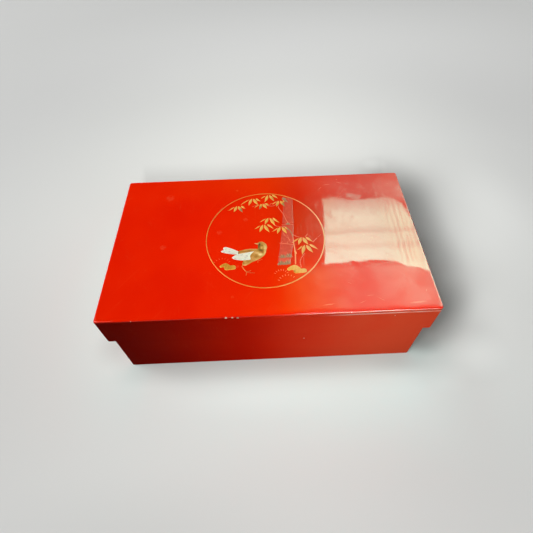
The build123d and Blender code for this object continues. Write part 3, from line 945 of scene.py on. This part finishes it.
twigs, twig_tone = drawn(TWIGS, height=0.09 * MM)
t = ends_dense(60)
knots = 1 + 0.5 * np.exp(-(((t - 0.54) / 0.025) ** 2)) + 0.2 * np.exp(-(((t - 0.24) / 0.02) ** 2))
cane_half = MM * (0.24 + 0.26 * np.clip(2.2 * t, 0, 1)) * knots * rounded(t, 6)
wavy_half = 0.27 * MM * (1 + 0.75 * np.sin(58 * t)) * rounded(t, 5)
sprout_half = 0.5 * MM * np.sin(np.pi * t**0.7)
long_paths = np.array([place(through(points, t)) for points in (CANE, WAVY, SPROUT)])
long_halves = np.array([cane_half, wavy_half, sprout_half])
long_lines = strokes(long_paths, long_halves, height=0.14 * MM)
long_tone = np.array([0.44 + 0.24 * np.clip(3 * t, 0, 1), 0.40 + 0 * t, 0.85 + 0 * t])
long_tone = spread_tone(long_tone, *long_halves.shape)
stems, stem_tone = join(twigs, long_lines), np.concatenate([twig_tone, long_tone])
piece("canes_and_twigs", stems, twig_gold, stem_tone, ["gold_stems"])

# %% [markdown]
# ## Stones and grass
# Two pairs of low stones stand on the ground line. Each pair has a humped stone behind and a long
# flat one in front. The grass is only a fan of short dashes round each root, faint and pink.

# %% Outlines and places of the stones
HUMPED = (
    (-1, -0.3),
    (-0.55, 0.5),
    (0.1, 0.98),
    (0.62, 0.55),
    (1, -0.3),
    (0.3, -0.95),
    (-0.35, -0.7),
    (-0.8, -0.9),
)
FLAT = (
    (-1, -0.2),
    (-0.8, 0.5),
    (-0.2, 0.78),
    (0.4, 1),
    (0.85, 0.78),
    (1, 0.05),
    (0.86, -0.72),
    (0, -0.94),
    (-0.7, -0.98),
)
STONES = (  # middle, half length, half height, outline
    (-0.669, -0.560, 0.084, 0.044, HUMPED),
    (-0.587, -0.606, 0.094, 0.045, FLAT),
    (0.432, -0.658, 0.108, 0.056, HUMPED),
    (0.527, -0.718, 0.106, 0.043, FLAT),
)

# %% Stones
STONE_RISES = (0.16 * MM, 0.26 * MM)
parts, tones = [], []
for order, (x, y, half_length, half_height, shape) in enumerate(STONES):
    front = order % 2
    outline = loop(place(np.array(shape) * (half_length, half_height) + (x, y)), 96)
    rise = STONE_RISES[front]
    dome = lambda share, px, py: rise * np.maximum(1 - share**5, 0) ** 0.6
    part = mound(outline, place((x, y)), dome)
    parts.append(part)
    reach = RING_RADIUS * np.array((half_length, half_height))
    across, upward = ((part[0][:, :2] - place((x, y))) / reach).T
    away = np.hypot(across, upward)
    rim = np.clip(away, 0, 1) ** 2.5
    seam = np.exp(-(((away - 0.94) / 0.15) ** 2)) * np.clip(0.3 - across + 0.6 * upward, 0, 1)
    mottled = 0.10 * np.sin(9 * across + 5 * upward) * np.sin(7 * upward - 4 * across)
    pale = 0.70 + 0.12 * across if x > 0 else 0.12 + 0.34 * rim + 0.26 * front * np.clip(across, 0, 1)
    tones.append(pale + 0.10 * (x > 0) * upward + mottled - 0.80 * front * seam)
piece("stones", join(*parts), stone_gold, np.concatenate(tones), ["gold_stones"])

# %% Grass
TUFTS = (  # middle of each fan, its radius, first and last angle, and tone
    (0.230, -0.800, 0.115, 152, 32, 0.75),
    (0.320, -0.930, 0.148, 158, 46, 0.80),
    (-0.720, -0.560, 0.140, 150, 30, 0.25),
)
DASHES = 7
t = np.linspace(0, 1, 10)
dashes, dash_tone = [], []
for x, y, radius, first, last, tone in TUFTS:
    for fan in np.radians(np.linspace(first, last, DASHES)):
        way = np.array((math.cos(fan), math.sin(fan)))
        dashes.append(place((x, y)) + (RING_RADIUS * radius + (2.0 * t[:, None] - 1.0) * MM) * way)
        dash_tone.append([tone])
dash_half = 0.26 * MM * np.sin(np.pi * t**0.8)
grass = strokes(np.array(dashes), dash_half, height=0.08 * MM)
grass_tone = spread_tone(np.array(dash_tone) + 0 * t, len(dashes), len(t))
piece("grass", grass, faint_gold, grass_tone, ["gold_grass"])

# %% [markdown]
# ## The bird
# The bird stands on one leg and looks back over its shoulder. Its body is one outline drawn in to a
# point in the throat, from where every part of the outline is in sight. Low swellings raise the
# breast, the head and the thigh. Its tone is dark round the eye and down the throat, and bright at
# the nape and on the rim of the breast.

# %% The bird's outline and the marks on it
BODY = (  # from the crown round by the face, back, rump, thigh, belly, breast and nape
    (-0.078, -0.110),
    (-0.130, -0.130),
    (-0.130, -0.172),
    (-0.134, -0.228),
    (-0.133, -0.258),
    (-0.153, -0.256),
    (-0.281, -0.252),
    (-0.394, -0.271),
    (-0.478, -0.300),
    (-0.470, -0.340),
    (-0.393, -0.450),
    (-0.374, -0.484),
    (-0.390, -0.533),
    (-0.385, -0.563),
    (-0.354, -0.581),
    (-0.310, -0.566),
    (-0.227, -0.514),
    (-0.143, -0.478),
    (-0.081, -0.438),
    (-0.032, -0.386),
    (-0.008, -0.339),
    (0.002, -0.291),
    (0.018, -0.236),
    (0.006, -0.171),
    (-0.033, -0.126),
)
THROAT = (-0.112, -0.330)
EYE = (-0.103, -0.160)
EYE_RADIUS = 0.48 * MM
GOLD_MARKS = (  # place, half width and half height of a bell curve, and what it adds to the tone
    (-0.108, -0.166, 0.032, 0.036, -0.42),
    (-0.116, -0.225, 0.030, 0.050, -0.40),
    (-0.088, -0.290, 0.040, 0.038, -0.40),
    (-0.058, -0.325, 0.026, 0.034, -0.36),
    (-0.062, -0.192, 0.016, 0.018, -0.30),
    (-0.074, -0.238, 0.022, 0.022, 0.24),
    (-0.012, -0.236, 0.022, 0.056, 0.22),
    (-0.048, -0.250, 0.012, 0.060, -0.12),
    (-0.018, -0.335, 0.020, 0.040, 0.24),
    (-0.133, -0.345, 0.050, 0.018, 0.22),
    (-0.088, -0.368, 0.040, 0.014, 0.14),
    (-0.463, -0.325, 0.024, 0.022, -0.34),
    (-0.270, -0.288, 0.030, 0.014, -0.22),
    (-0.358, -0.304, 0.130, 0.014, -0.20),
    (-0.188, -0.258, 0.250, 0.010, 0.12),
    (-0.157, -0.325, 0.060, 0.022, 0.10),
    (-0.100, -0.380, 0.030, 0.020, 0.44),
    (-0.070, -0.357, 0.030, 0.030, 0.14),
    (-0.164, -0.405, 0.036, 0.034, -0.20),
    (-0.243, -0.385, 0.024, 0.040, -0.12),
    (-0.224, -0.420, 0.020, 0.020, 0.10),
    (-0.158, -0.464, 0.060, 0.016, 0.14),
    (-0.299, -0.500, 0.040, 0.020, -0.20),
    (-0.349, -0.505, 0.022, 0.018, 0.12),
    (-0.370, -0.528, 0.016, 0.026, -0.32),
    (-0.343, -0.566, 0.030, 0.014, 0.18),
)
SWELLINGS = (  # place, half width and half height of a bell curve, and how much it raises in mm
    (-0.148, -0.390, 0.090, 0.075, 0.10),
    (-0.068, -0.200, 0.060, 0.070, 0.06),
    (-0.348, -0.540, 0.040, 0.035, 0.05),
)

# %% Bird's body


def bells(marks, xy):
    """The sum of the bell curves at each point: weight x exp(-((x-cx)/rx)^2 - ((y-cy)/ry)^2)."""
    cx, cy, rx, ry, weight = np.array(marks).T[:, :, None]
    x, y = (np.asarray(xy, float).reshape(-1, 2) - PICTURE_MIDDLE).T / RING_RADIUS
    return (weight * np.exp(-(((x - cx) / rx) ** 2) - ((y - cy) / ry) ** 2)).sum(0)


def body_rise(share, x, y):
    """A rounded rim 0.12 mm high, and the swellings inside it."""
    swell = bells(SWELLINGS, np.stack([x, y], -1)).reshape(np.shape(x))
    return MM * (0.12 + swell) * np.maximum(1 - share**6, 0) ** 0.5


body = mound(loop(place(BODY), 320), place(THROAT), body_rise, rings=40)
body_tone = 0.53 + bells(GOLD_MARKS, body[0][:, :2])
piece("bird_body", body, bird_gold, body_tone, ["gold_bird"])

# %% Beak, eye, leg and toes
LIMBS = (  # the points of each, half its width in mm, and its tone
    (((-0.384, -0.569), (-0.393, -0.590), (-0.360, -0.649), (-0.321, -0.699)), 0.32, 0.85),
    (((-0.321, -0.699), (-0.324, -0.730), (-0.330, -0.765)), 0.28, 0.60),
    (((-0.321, -0.699), (-0.293, -0.690), (-0.248, -0.675)), 0.24, 0.45),
    (((-0.321, -0.699), (-0.267, -0.717), (-0.186, -0.724)), 0.20, 0.25),
    (((-0.321, -0.699), (-0.338, -0.682), (-0.358, -0.668)), 0.22, 0.60),
    (((-0.110, -0.483), (-0.136, -0.500), (-0.138, -0.535)), 0.24, 0.40),
    (((-0.114, -0.490), (-0.090, -0.478), (-0.063, -0.465)), 0.20, 0.35),
)
t = ends_dense(24)
beak_path = place(through(((-0.116, -0.156), (-0.154, -0.150), (-0.191, -0.139)), t))[None]
beak_half = 0.95 * MM * (1 - t) ** 0.9 + 0.10 * MM * np.sqrt(1 - t) + 0.001 * MM
beak = strokes(beak_path, beak_half, height=0.16 * MM)
limbs, limb_tone = drawn(LIMBS, height=0.12 * MM)
piece("bird_legs", limbs, line_gold, 0.33 * limb_tone)
piece("beak", beak, bird_gold, spread_tone(0.50 + 0.30 * t, 1, 24))
turned = np.linspace(0, 2 * np.pi, 32, endpoint=False)
eye_outline = place(EYE) + EYE_RADIUS * np.stack([np.cos(turned), np.sin(turned)], -1)
eye_rise = lambda share, px, py: 0.20 * MM + 0.14 * MM * np.maximum(1 - share**2, 0)
piece("bird_eye", mound(eye_outline, place(EYE), eye_rise, rings=6), eye_black)

# %% [markdown]
# ## Shell wing and tail
# These are thin white shell, sawn to shape, let into a bed in the lacquer and then engraved: fine
# lines follow the feathers, and short darker cuts mark the shoulder. The plate is a mound with a
# nearly flat top and a rounded edge. The engraving is real grooves, worked out from the distance of a
# point to a set of short straight lines.

# %% The wing's outline and its engraved lines
WING = (  # its tip is given twice, which keeps it sharp
    (-0.196, -0.303),
    (-0.196, -0.303),
    (-0.281, -0.318),
    (-0.394, -0.337),
    (-0.473, -0.350),
    (-0.539, -0.391),
    (-0.558, -0.413),
    (-0.558, -0.416),
    (-0.533, -0.441),
    (-0.471, -0.461),
    (-0.393, -0.474),
    (-0.321, -0.474),
    (-0.257, -0.464),
    (-0.262, -0.402),
    (-0.248, -0.365),
)
WING_MIDDLE = (-0.37, -0.41)
FEATHER_LINES = (
    ((-0.308, -0.340), (-0.463, -0.364)),
    ((-0.298, -0.372), (-0.513, -0.388)),
    ((-0.308, -0.402), (-0.543, -0.412)),
    ((-0.298, -0.430), (-0.508, -0.434)),
    ((-0.288, -0.454), (-0.448, -0.456)),
)
SHOULDER_CUTS = (
    ((-0.270, -0.348), (-0.292, -0.356)),
    ((-0.304, -0.380), (-0.332, -0.386)),
    ((-0.324, -0.414), (-0.352, -0.420)),
    ((-0.334, -0.454), (-0.360, -0.458)),
    ((-0.386, -0.366), (-0.412, -0.373)),
    ((-0.300, -0.404), (-0.314, -0.398)),
    ((-0.498, -0.436), (-0.522, -0.440)),
)
SHELL_TOP = 0.24 * MM
TAIL_TOP = 0.12 * MM
SHELL_BED = 0.30 * MM

# %% Shell wing


def grooves(lines, width):
    """A function of x and y that is 1 on some straight lines (start, end) and falls to 0 a width
    away, by the distance to each line's nearest point."""
    ends = place(lines)

    def depth(x, y):
        a, b = ends[:, 0, :, None, None], ends[:, 1, :, None, None]
        p = np.stack([x, y])[None]
        share = np.clip(((p - a) * (b - a)).sum(1) / ((b - a) ** 2).sum(1), 0, 1)[:, None]
        away = np.sqrt(((p - a - share * (b - a)) ** 2).sum(1))
        return np.exp(-((away / width) ** 2)).max(0)

    return depth


def plate(outline, centre, fine_lines, deep_cuts, top, rings=70):
    """A shell plate and its tones: a rounded edge, and grooves that are dark at the bottom."""
    fine, deep = grooves(fine_lines, 0.13 * MM), grooves(deep_cuts, 0.21 * MM)

    def rise(share, x, y):
        wide_x, wide_y = np.atleast_2d(x), np.atleast_2d(y)
        cut = 0.03 * MM * fine(wide_x, wide_y) + 0.07 * MM * deep(wide_x, wide_y)
        height = np.where(share < 0.999, top * np.maximum(1 - share**24, 0) ** 0.5 - cut, 0.0)
        return height.reshape(np.shape(x))

    part = mound(outline, centre, rise, rings, sink=SHELL_BED)
    x, y = part[0][None, :, 0], part[0][None, :, 1]
    return part, 1 - 0.45 * fine(x, y)[0] - 0.62 * deep(x, y)[0]


wing_outline = loop(place(WING), 320)
wing_part, wing_tone = plate(wing_outline, place(WING_MIDDLE), FEATHER_LINES, SHOULDER_CUTS, SHELL_TOP)
piece("wing", wing_part, white_shell, wing_tone, ["shell_wing"])

# %% The tail's feathers and their lines
UPPER_FEATHER = (  # from its tip towards the wing, and back
    (-0.676, -0.194),
    (-0.598, -0.218),
    (-0.525, -0.255),
    (-0.456, -0.297),
    (-0.476, -0.322),
    (-0.564, -0.290),
    (-0.636, -0.270),
    (-0.676, -0.264),
    (-0.708, -0.236),
    (-0.705, -0.210),
)
LOWER_FEATHER = (
    (-0.740, -0.277),
    (-0.720, -0.260),
    (-0.656, -0.252),
    (-0.553, -0.284),
    (-0.463, -0.319),
    (-0.487, -0.350),
    (-0.619, -0.330),
    (-0.728, -0.298),
)
TAIL_LINES = (
    ((-0.478, -0.305), (-0.678, -0.215)),
    ((-0.478, -0.318), (-0.668, -0.268)),
    ((-0.488, -0.330), (-0.723, -0.275)),
    ((-0.508, -0.340), (-0.648, -0.315)),
)
TAIL_CUTS = (
    ((-0.596, -0.286), (-0.614, -0.282)),
    ((-0.680, -0.302), (-0.702, -0.298)),
    ((-0.658, -0.250), (-0.676, -0.246)),
)

# %% Shell tail
parts, tones = [], []
for feather in (UPPER_FEATHER, LOWER_FEATHER):
    outline, middle = loop(place(feather), 200), place(np.mean(feather, axis=0))
    part, tone = plate(outline, middle, TAIL_LINES, TAIL_CUTS, TAIL_TOP, 40)
    parts.append(part)
    tones.append(tone)
piece("tail", join(*parts), white_shell, np.concatenate(tones), ["shell_tail"])

# %% [markdown]
# ## The paper under the box
# The box stands on pale paper. Its colour is what the camera and mirrors see; other rays find it
# dim, so that it throws no light up at the box. The real shadow falls on it from the lamps. On top
# of that its colour is multiplied by soft ovals, because a room darkens and lightens paper in more
# ways than a few lamps can.

# %% Colours and shades of the paper
FLOOR_COLOUR = (0.80, 0.815, 0.78, 1)
FLOOR_EDGE = (0.64, 0.645, 0.635, 1)
FLOOR_DIM = (0.05, 0.045, 0.045, 1)
# The next two tints cancel the red light that the box throws onto the paper.
FLOOR_COOL = (1.0, 1.15, 1.15, 1)
BESIDE_COOL = (0.965, 1.07, 1.065, 1)
SHADES = (  # middle on the floor and reach in mm, turn in degrees, and what the paper is multiplied by
    (165, 40, 60, 220, 0, 0.89),
    (164, 117, 62, 98, 0, 0.47),
    (180, -72, 46, 30, 0, 1.20),
    (169, -31, 58, 32, 42, 0.55),
    (-140, -50, 32, 28, 0, 0.80),
    (60, 240, 340, 200, 0, 1.12),
    (262, 95, 90, 120, 0, 1.14),
    (203, 150, 42, 45, 0, 0.93),
    (218, 52, 62, 70, 0, 1.09),
    (150, 186, 22, 16, 0, 1.13),
    (118, -80, 42, 13, 0, 0.93),
    (156, -94, 24, 16, 0, 1.05),
    (-260, -80, 200, 200, 0, 0.93),
    (142, -62, 22, 15, 0, 0.76),
    (-20, -100, 110, 26, 0, 1.04),
    (120, 520, 620, 270, 0, 1.15),
    (-110, -200, 150, 55, 0, 0.945),
    (150, -160, 130, 110, 0, 0.95),
)

# %% Floor


def sheet(name, corners):
    """An object of one flat face."""
    mesh = bpy.data.meshes.new(name)
    mesh.from_pydata(corners, [], [(0, 1, 2, 3)])
    made = bpy.data.objects.new(name, mesh)
    bpy.context.scene.collection.objects.link(made)
    return made


def stained(colour, mask, stain):
    """The colour multiplied by the stain where the mask is 1."""
    inputs = {0: 1.0, 6: colour, 7: stain}
    product = put(mask.tree, "Mix", inputs, out=2, data_type="RGBA", blend_type="MULTIPLY")
    return tint(mask, colour, product)


floor = sheet("floor", [(-6, -6, 0), (6, -6, 0), (6, 6, 0), (-6, 6, 0)])
floor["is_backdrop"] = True
material, tree, shader, ground = start_material("paper")
x, y, _ = axes(ground)
before_wall = y.ease(-0.07, -0.05, 1.0, 0.0)

# %% Tints and shades on the paper
# Darker away from the box: a painted fall-off of light.
paper = tint(distance(ground, (0, 0.10, 0)).ease(0.05, 0.48), FLOOR_COLOUR, FLOOR_EDGE)
# Cool painted tints before and beside the box cancel the red light that it throws onto the paper.
near_wall = y.ease(-0.17, -0.075) * before_wall * abs(x).ease(0.11, 0.18, 1.0, 0.0)
paper = stained(paper, near_wall * x.ease(-0.12, 0.0, 0.10, 1.0), FLOOR_COOL)
beside = oval(ground, (-140, 10, 0), (80, 150), 0, 0.3) * x.ease(-0.12, -0.10, 1.0, 0.0)
beside = beside | oval(ground, (165, -115, 0), (120, 70), 0, 0.3) * 0.12
beside = beside | oval(ground, (70, -95, 0), (95, 60), 0, 0.3) * 0.4
paper = stained(paper, beside, BESIDE_COOL)
# Painted shadows: a band behind the box and a strip along its front foot. The ovals are painted shade
# and light.
behind = y.ease(0.165, 0.21, x.ease(-0.07, 0.01, 0.815, 0.88), 1.0)
shade = behind | y.ease(-0.02, 0.05, 1.0, 0.0) | abs(x).ease(0.12, 0.165)
contact = y.ease(-0.094, -0.074) * before_wall * abs(x).ease(0.11, 0.15, 0.17, 0.0)
shade = shade * contact.flipped()
for shade_x, shade_y, reach_x, reach_y, turned, factor in SHADES:
    inside = oval(ground, (shade_x, shade_y, 0), (reach_x, reach_y), turned)
    shade = shade * (inside * (factor - 1.0) + 1.0)
paper = put(tree, "VectorMath", {0: paper, "Scale": shade}, operation="SCALE")
seen_by = ("Is Camera Ray", "Is Glossy Ray", "Is Transmission Ray")
direct = largest(put(tree, "LightPath", out=ray) for ray in seen_by)
feed(tree, shader, Base_Color=tint(direct, FLOOR_DIM, paper), Roughness=1.0, Specular_IOR_Level=0.0)
floor.data.materials.append(material)
print("paper:", len(tree.nodes), "nodes,", len(SHADES), "soft shades")

# %% [markdown]
# ## Light
# A large soft lamp high on the left lights the box, with three weak ones for its front and back. The
# paper has lamps of its own, which make the shadow on the right. The room is pale to the camera. To
# mirror rays it is pale only low down, and dark overhead, because a polished red lid looks red only
# where it mirrors something dark.

# %% World
ROOM = (0.74, 0.74, 0.72, 1)
world = bpy.data.worlds.new("room")
bpy.context.scene.world = world
world.use_nodes = True
tree = world.node_tree
tree.nodes.clear()
up = axes(put(tree, "TexCoord", out=0))[2]
OVERHEAD = (0.010, 0.005, 0.004, 1)
mirrored = tint(up.ease(0.25, 0.55), ROOM, OVERHEAD)
indirect = tint(put(tree, "LightPath", out="Is Diffuse Ray"), mirrored, (0.045, 0.045, 0.045, 1))
final = tint(put(tree, "LightPath", out="Is Camera Ray"), indirect, ROOM)
put(tree, "OutputWorld", {"Surface": put(tree, "Background", {"Color": final, "Strength": 1.0})})
print("world:", len(tree.nodes), "nodes")

# %% Lamps


def lamp(name, place, target, size, power, colour=(1, 1, 1), spread=180.0):
    """A square soft lamp at a place, turned to a target."""
    data = bpy.data.lights.new(name, "AREA")
    data.size, data.energy, data.color = size, power, colour
    data.spread = math.radians(spread)
    made = bpy.data.objects.new(name, data)
    bpy.context.scene.collection.objects.link(made)
    aim = Vector(target) - Vector(place)
    made.matrix_world = Matrix.Translation(place) @ aim.to_track_quat("-Z", "Y").to_matrix().to_4x4()
    return made


MIDDLE = (0, 0, 0.05)
FRONT_RIGHT = (0.070, -0.07, 0.045)
LID_RIGHT = (0.06, -0.06, 0.09)
WARM = (1.0, 0.92, 0.85)
LESS_WARM = (1.0, 0.95, 0.9)
key = lamp("key", (-3.0, 1.0, 4.6), MIDDLE, size=2.0, power=318)
fill = lamp("fill", (0.20, -0.55, 0.20), FRONT_RIGHT, 0.16, 0.108, WARM, spread=43)
lid_fill = lamp("lid_fill", (0.10, -0.22, 0.50), LID_RIGHT, 0.10, 0.021, LESS_WARM, spread=42)
back_fill = lamp("back_fill", (-0.5, 1.1, 0.35), MIDDLE, size=0.5, power=1.5)
paper_high = lamp("paper_high", (-5.3, 0.0, 9.2), MIDDLE, size=5.4, power=600)
paper_low = lamp("paper_low", (-9.2, -8.8, 9.2), MIDDLE, size=6.4, power=1680)
paper_sky = lamp("paper_sky", (0, 0, 3.0), MIDDLE, size=5.0, power=8)
print(len(bpy.data.lights), "lamps: four for the box, three for the paper")

# %% [markdown]
# ## What the lacquer mirrors
# The real lid mirrors a bright window on its right. A glowing card hangs over the box where the
# window would be, and is seen only in reflections. Its brightness is drawn in the lid's own
# millimetres: a point of the card is carried down to the lid along the line through the camera's
# mirror image. A second, low card stands in front of the box. The lid's rounded front edge mirrors
# it as a thin white line.

# %% Window card
CARD_HEIGHT = 1.2
mirror_height = 2 * LID_TOP - CAMERA_PLACE.z
MAGNIFY = (CARD_HEIGHT - mirror_height) / (LID_TOP - mirror_height)
left, right = CAMERA_PLACE.x - 0.9, CAMERA_PLACE.x + 2.7
near, far = CAMERA_PLACE.y + 0.4, CAMERA_PLACE.y + 1.7
card_corners = ((left, near), (left, far), (right, far), (right, near))
card = sheet("window_card", [(*corner, CARD_HEIGHT) for corner in card_corners])
card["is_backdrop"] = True
print("the card is", round(MAGNIFY, 3), "times as large as its mirror image on the lid")


def start_glow(name):
    """A material that will only glow: its empty tree, and the card's own coordinates."""
    material = bpy.data.materials.new(name)
    material.use_nodes = True
    material.node_tree.nodes.clear()
    return material, material.node_tree, put(material.node_tree, "TexCoord", out=3)


def finish_glow(made, material, colour, strength):
    """Ends a glowing material, gives it to the card, and leaves the card to mirror rays alone."""
    tree = material.node_tree
    emission = put(tree, "Emission", {"Color": colour, "Strength": strength})
    put(tree, "OutputMaterial", {"Surface": emission})
    made.data.materials.append(material)
    made.visible_camera = made.visible_diffuse = made.visible_shadow = False


material, tree, hung = start_glow("window_glow")
shrink = 1 / (MAGNIFY * MM)
shift = tuple(v * (1 / MM - shrink) for v in (CAMERA_PLACE.x, CAMERA_PLACE.y, 0))
local = put(tree, "VectorMath", {0: hung, 1: (shrink,) * 3, 2: shift}, operation="MULTIPLY_ADD")
x, y, _ = axes(local)

# %% Outline of the window's mirror image, in mm on the lid


def band(value, low, high, soft):
    """1 between low and high, with soft edges."""
    return value.ease(low - soft, low + soft) * value.ease(high - soft, high + soft, 1.0, 0.0)


rough = cloud(local, 1.1, 2.0).ease(0.3, 0.7, -0.5, 0.5)
rippled = y + cloud(local, 0.07, 3.0).ease(0.3, 0.7, -0.5, 0.5) + rough
left_edge = x + rough - y.ease(-55, 38, 45.2, 53.2)
right_edge = x - y.ease(5, 30, 133.0, 125.8)
top_edge = rippled + x.ease(64, 86, 0.0, 4.2) + x.ease(88, 104, 0.0, -2.2) + x.ease(116, 129, 0.0, 9.0)
low_edge = rippled + x.ease(44, 88, 0.0, -2.7) + x.ease(95, 101, 0.0, 2.6)
low_edge = low_edge + x.ease(102, 118, 0.0, 6.0) + x.ease(119, 127, 0.0, 4.4)
pane = left_edge.ease(-0.5, 0.5) * right_edge.ease(-1.0, 1.0, 1.0, 0.0)
pane = pane * top_edge.ease(41.6, 43.0, 1.0, 0.0) * low_edge.ease(-31.3, -30.3)
shard = band(x * 0.2 + y + rough, 56.0, 62.2, 0.6) * x.ease(75.0, 76.2)
shard = shard * (x * 0.47 + y).ease(78.4, 79.8) * (x * -1.45 + y).ease(-88.2, -86.2)
shard = shard * cloud(local, 0.4, 2.0).ease(0.3, 0.7, 0.5, 1.2)

# %% Folds, reeds and flecks in the window
sag = cloud(local, 0.05, 2.0) * 5.0 + y - 2.5
folds = band(x * 0.17 + sag, 23.4, 25.4, 1.2) * x.ease(66, 90, 0.10, 0.0)
folds = folds + sag.ease(-1.6, 0.4) * sag.ease(0.8, 8.0, 0.24, 0.0)
folds = folds + sag.ease(-18.5, -15.0) * sag.ease(-14.0, -8.0, 0.17, 0.0)
reeded = y * -0.055 + x
swerve = cloud(stretched(local, (0.30, 0.02, 1)), 1.0, 2.0) * 9.0
wide_reeds = (reeded * 1.55 + swerve).calc("SINE").ease(-0.8, 1.0, -0.10, 0.26)
fine_reeds = (reeded * 3.7 + swerve).calc("SINE") * 0.10
reeds = (wide_reeds + fine_reeds) * x.ease(104, 111)
flecks = cloud(stretched(local, (0.60, 0.28, 1), 35), 1.0, 3.0, 1.5).ease(0.55, 0.68, 0.0, 0.5)
flecks = flecks * (y.ease(-4, 10) * x.ease(92, 108, 1.0, 0.0) * 0.8 + 0.2)
lit = (folds + reeds + flecks).flipped() * x.ease(70, 128, 1.02, 0.88) * y.ease(16, 42, 1.0, 0.44)
pane = pane * lit * y.ease(-28, 4, 1.22, 0.99) * x.ease(50, 66, 0.93, 1.0)

# %% Haze round the window
low_haze = (x.ease(-2, 60, 0.0, 0.78) + x.ease(72, 106, 0.0, 0.50)) * y.ease(-39, -25, 1.0, 0.0)
low_haze = low_haze * y.ease(-56, -36, 1.0, 1.12) * y.ease(-71.6, -69.7)
low_haze = low_haze * (x.ease(119, 125) * y.ease(-67, -57, 0.32, 0.0)).flipped()
mid_haze = (x - y.ease(20, 50, 0.0, 14.0)).ease(14, 56, 0.0, 0.31) * y.ease(58, 74, 1.0, 0.45)
high_haze = x.ease(88, 128, 0.0, 0.50) * y.ease(46, 64, 1.1, 0.8) + x.ease(34, 84, 0.0, 0.42)
high_haze = high_haze * y.ease(30, 44, 0.4, 1.0) * y.ease(48, 74, 1.0, 0.52)
wisps = cloud(local, 0.05, 5.0, 0.8).ease(0.3, 0.7, 0.8, 1.2)
haze = (low_haze | mid_haze | high_haze) * wisps + x.ease(-60, 10, 0.0, 0.065)
haze = haze + y.ease(36, 74, 0.0, 0.05) * x.ease(-130, -40)
beyond_lid = x.ease(134, 140) * y.ease(60, 110, 1.0, 0.25)

# %% Colour and strength of the window's glow
COOL_GLOW = (0.16, 1.0, 0.76, 1)
GREEN_GLOW = (0.25, 1.0, 0.02, 1)
WARM_GLOW = (0.40, 1.0, 0.74, 1)
YELLOWER_GLOW = (0.16, 1.0, 0.62, 1)
PANE_STRENGTH = 13.0
HAZE_STRENGTH = 3.6
BEYOND_STRENGTH = 16.0
glow = (pane | shard * 0.30) * PANE_STRENGTH + haze * HAZE_STRENGTH + beyond_lid * BEYOND_STRENGTH
haze_colour = tint(x.ease(0, 76), GREEN_GLOW, COOL_GLOW)
pane_colour = tint(y.ease(-36, 2), COOL_GLOW, WARM_GLOW)
pane_colour = tint(x.ease(88, 130, 0.0, 0.6), pane_colour, YELLOWER_GLOW)
finish_glow(card, material, tint(pane, haze_colour, pane_colour), glow)
print("window glow:", len(tree.nodes), "nodes")

# %% Edge card
EDGE_CARD_CORNERS = ((0.02, -0.6, 0.0), (0.50, -0.6, 0.0), (0.50, -0.6, 0.25), (0.02, -0.6, 0.25))
edge_card = sheet("edge_card", EDGE_CARD_CORNERS)
edge_card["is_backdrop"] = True
material, tree, hung = start_glow("edge_glow")
EDGE_GLOW = (0.2, 1.0, 0.92, 1)
EDGE_STRENGTH = 17.0
finish_glow(edge_card, material, EDGE_GLOW, axes(hung)[0].ease(0.005, 0.10, 0.0, EDGE_STRENGTH))
print("edge glow:", len(tree.nodes), "nodes")

# %% [markdown]
# ## Hand the pieces to the lamps and finish
# Each lamp is told which objects it lights: four light only the box and three only the paper, as
# white cards held beside a box would, so both have the tones of the photograph. The glowing cards
# show in everything but the gold, whose satin would catch them as a glare.

# %% Lamp groups
box_only = bpy.data.collections.new("box_only")
mirrors = bpy.data.collections.new("mirrors")
paper_only = bpy.data.collections.new("paper_only")
paper_only.objects.link(floor)
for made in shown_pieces():
    box_only.objects.link(made)
    if not made.active_material.name.endswith("_gold"):
        mirrors.objects.link(made)
for group, lights in (
    (box_only, (key, fill, lid_fill, back_fill)),
    (paper_only, (paper_high, paper_low, paper_sky)),
    (mirrors, (card, edge_card)),
):
    for light in lights:
        light.light_linking.receiver_collection = group
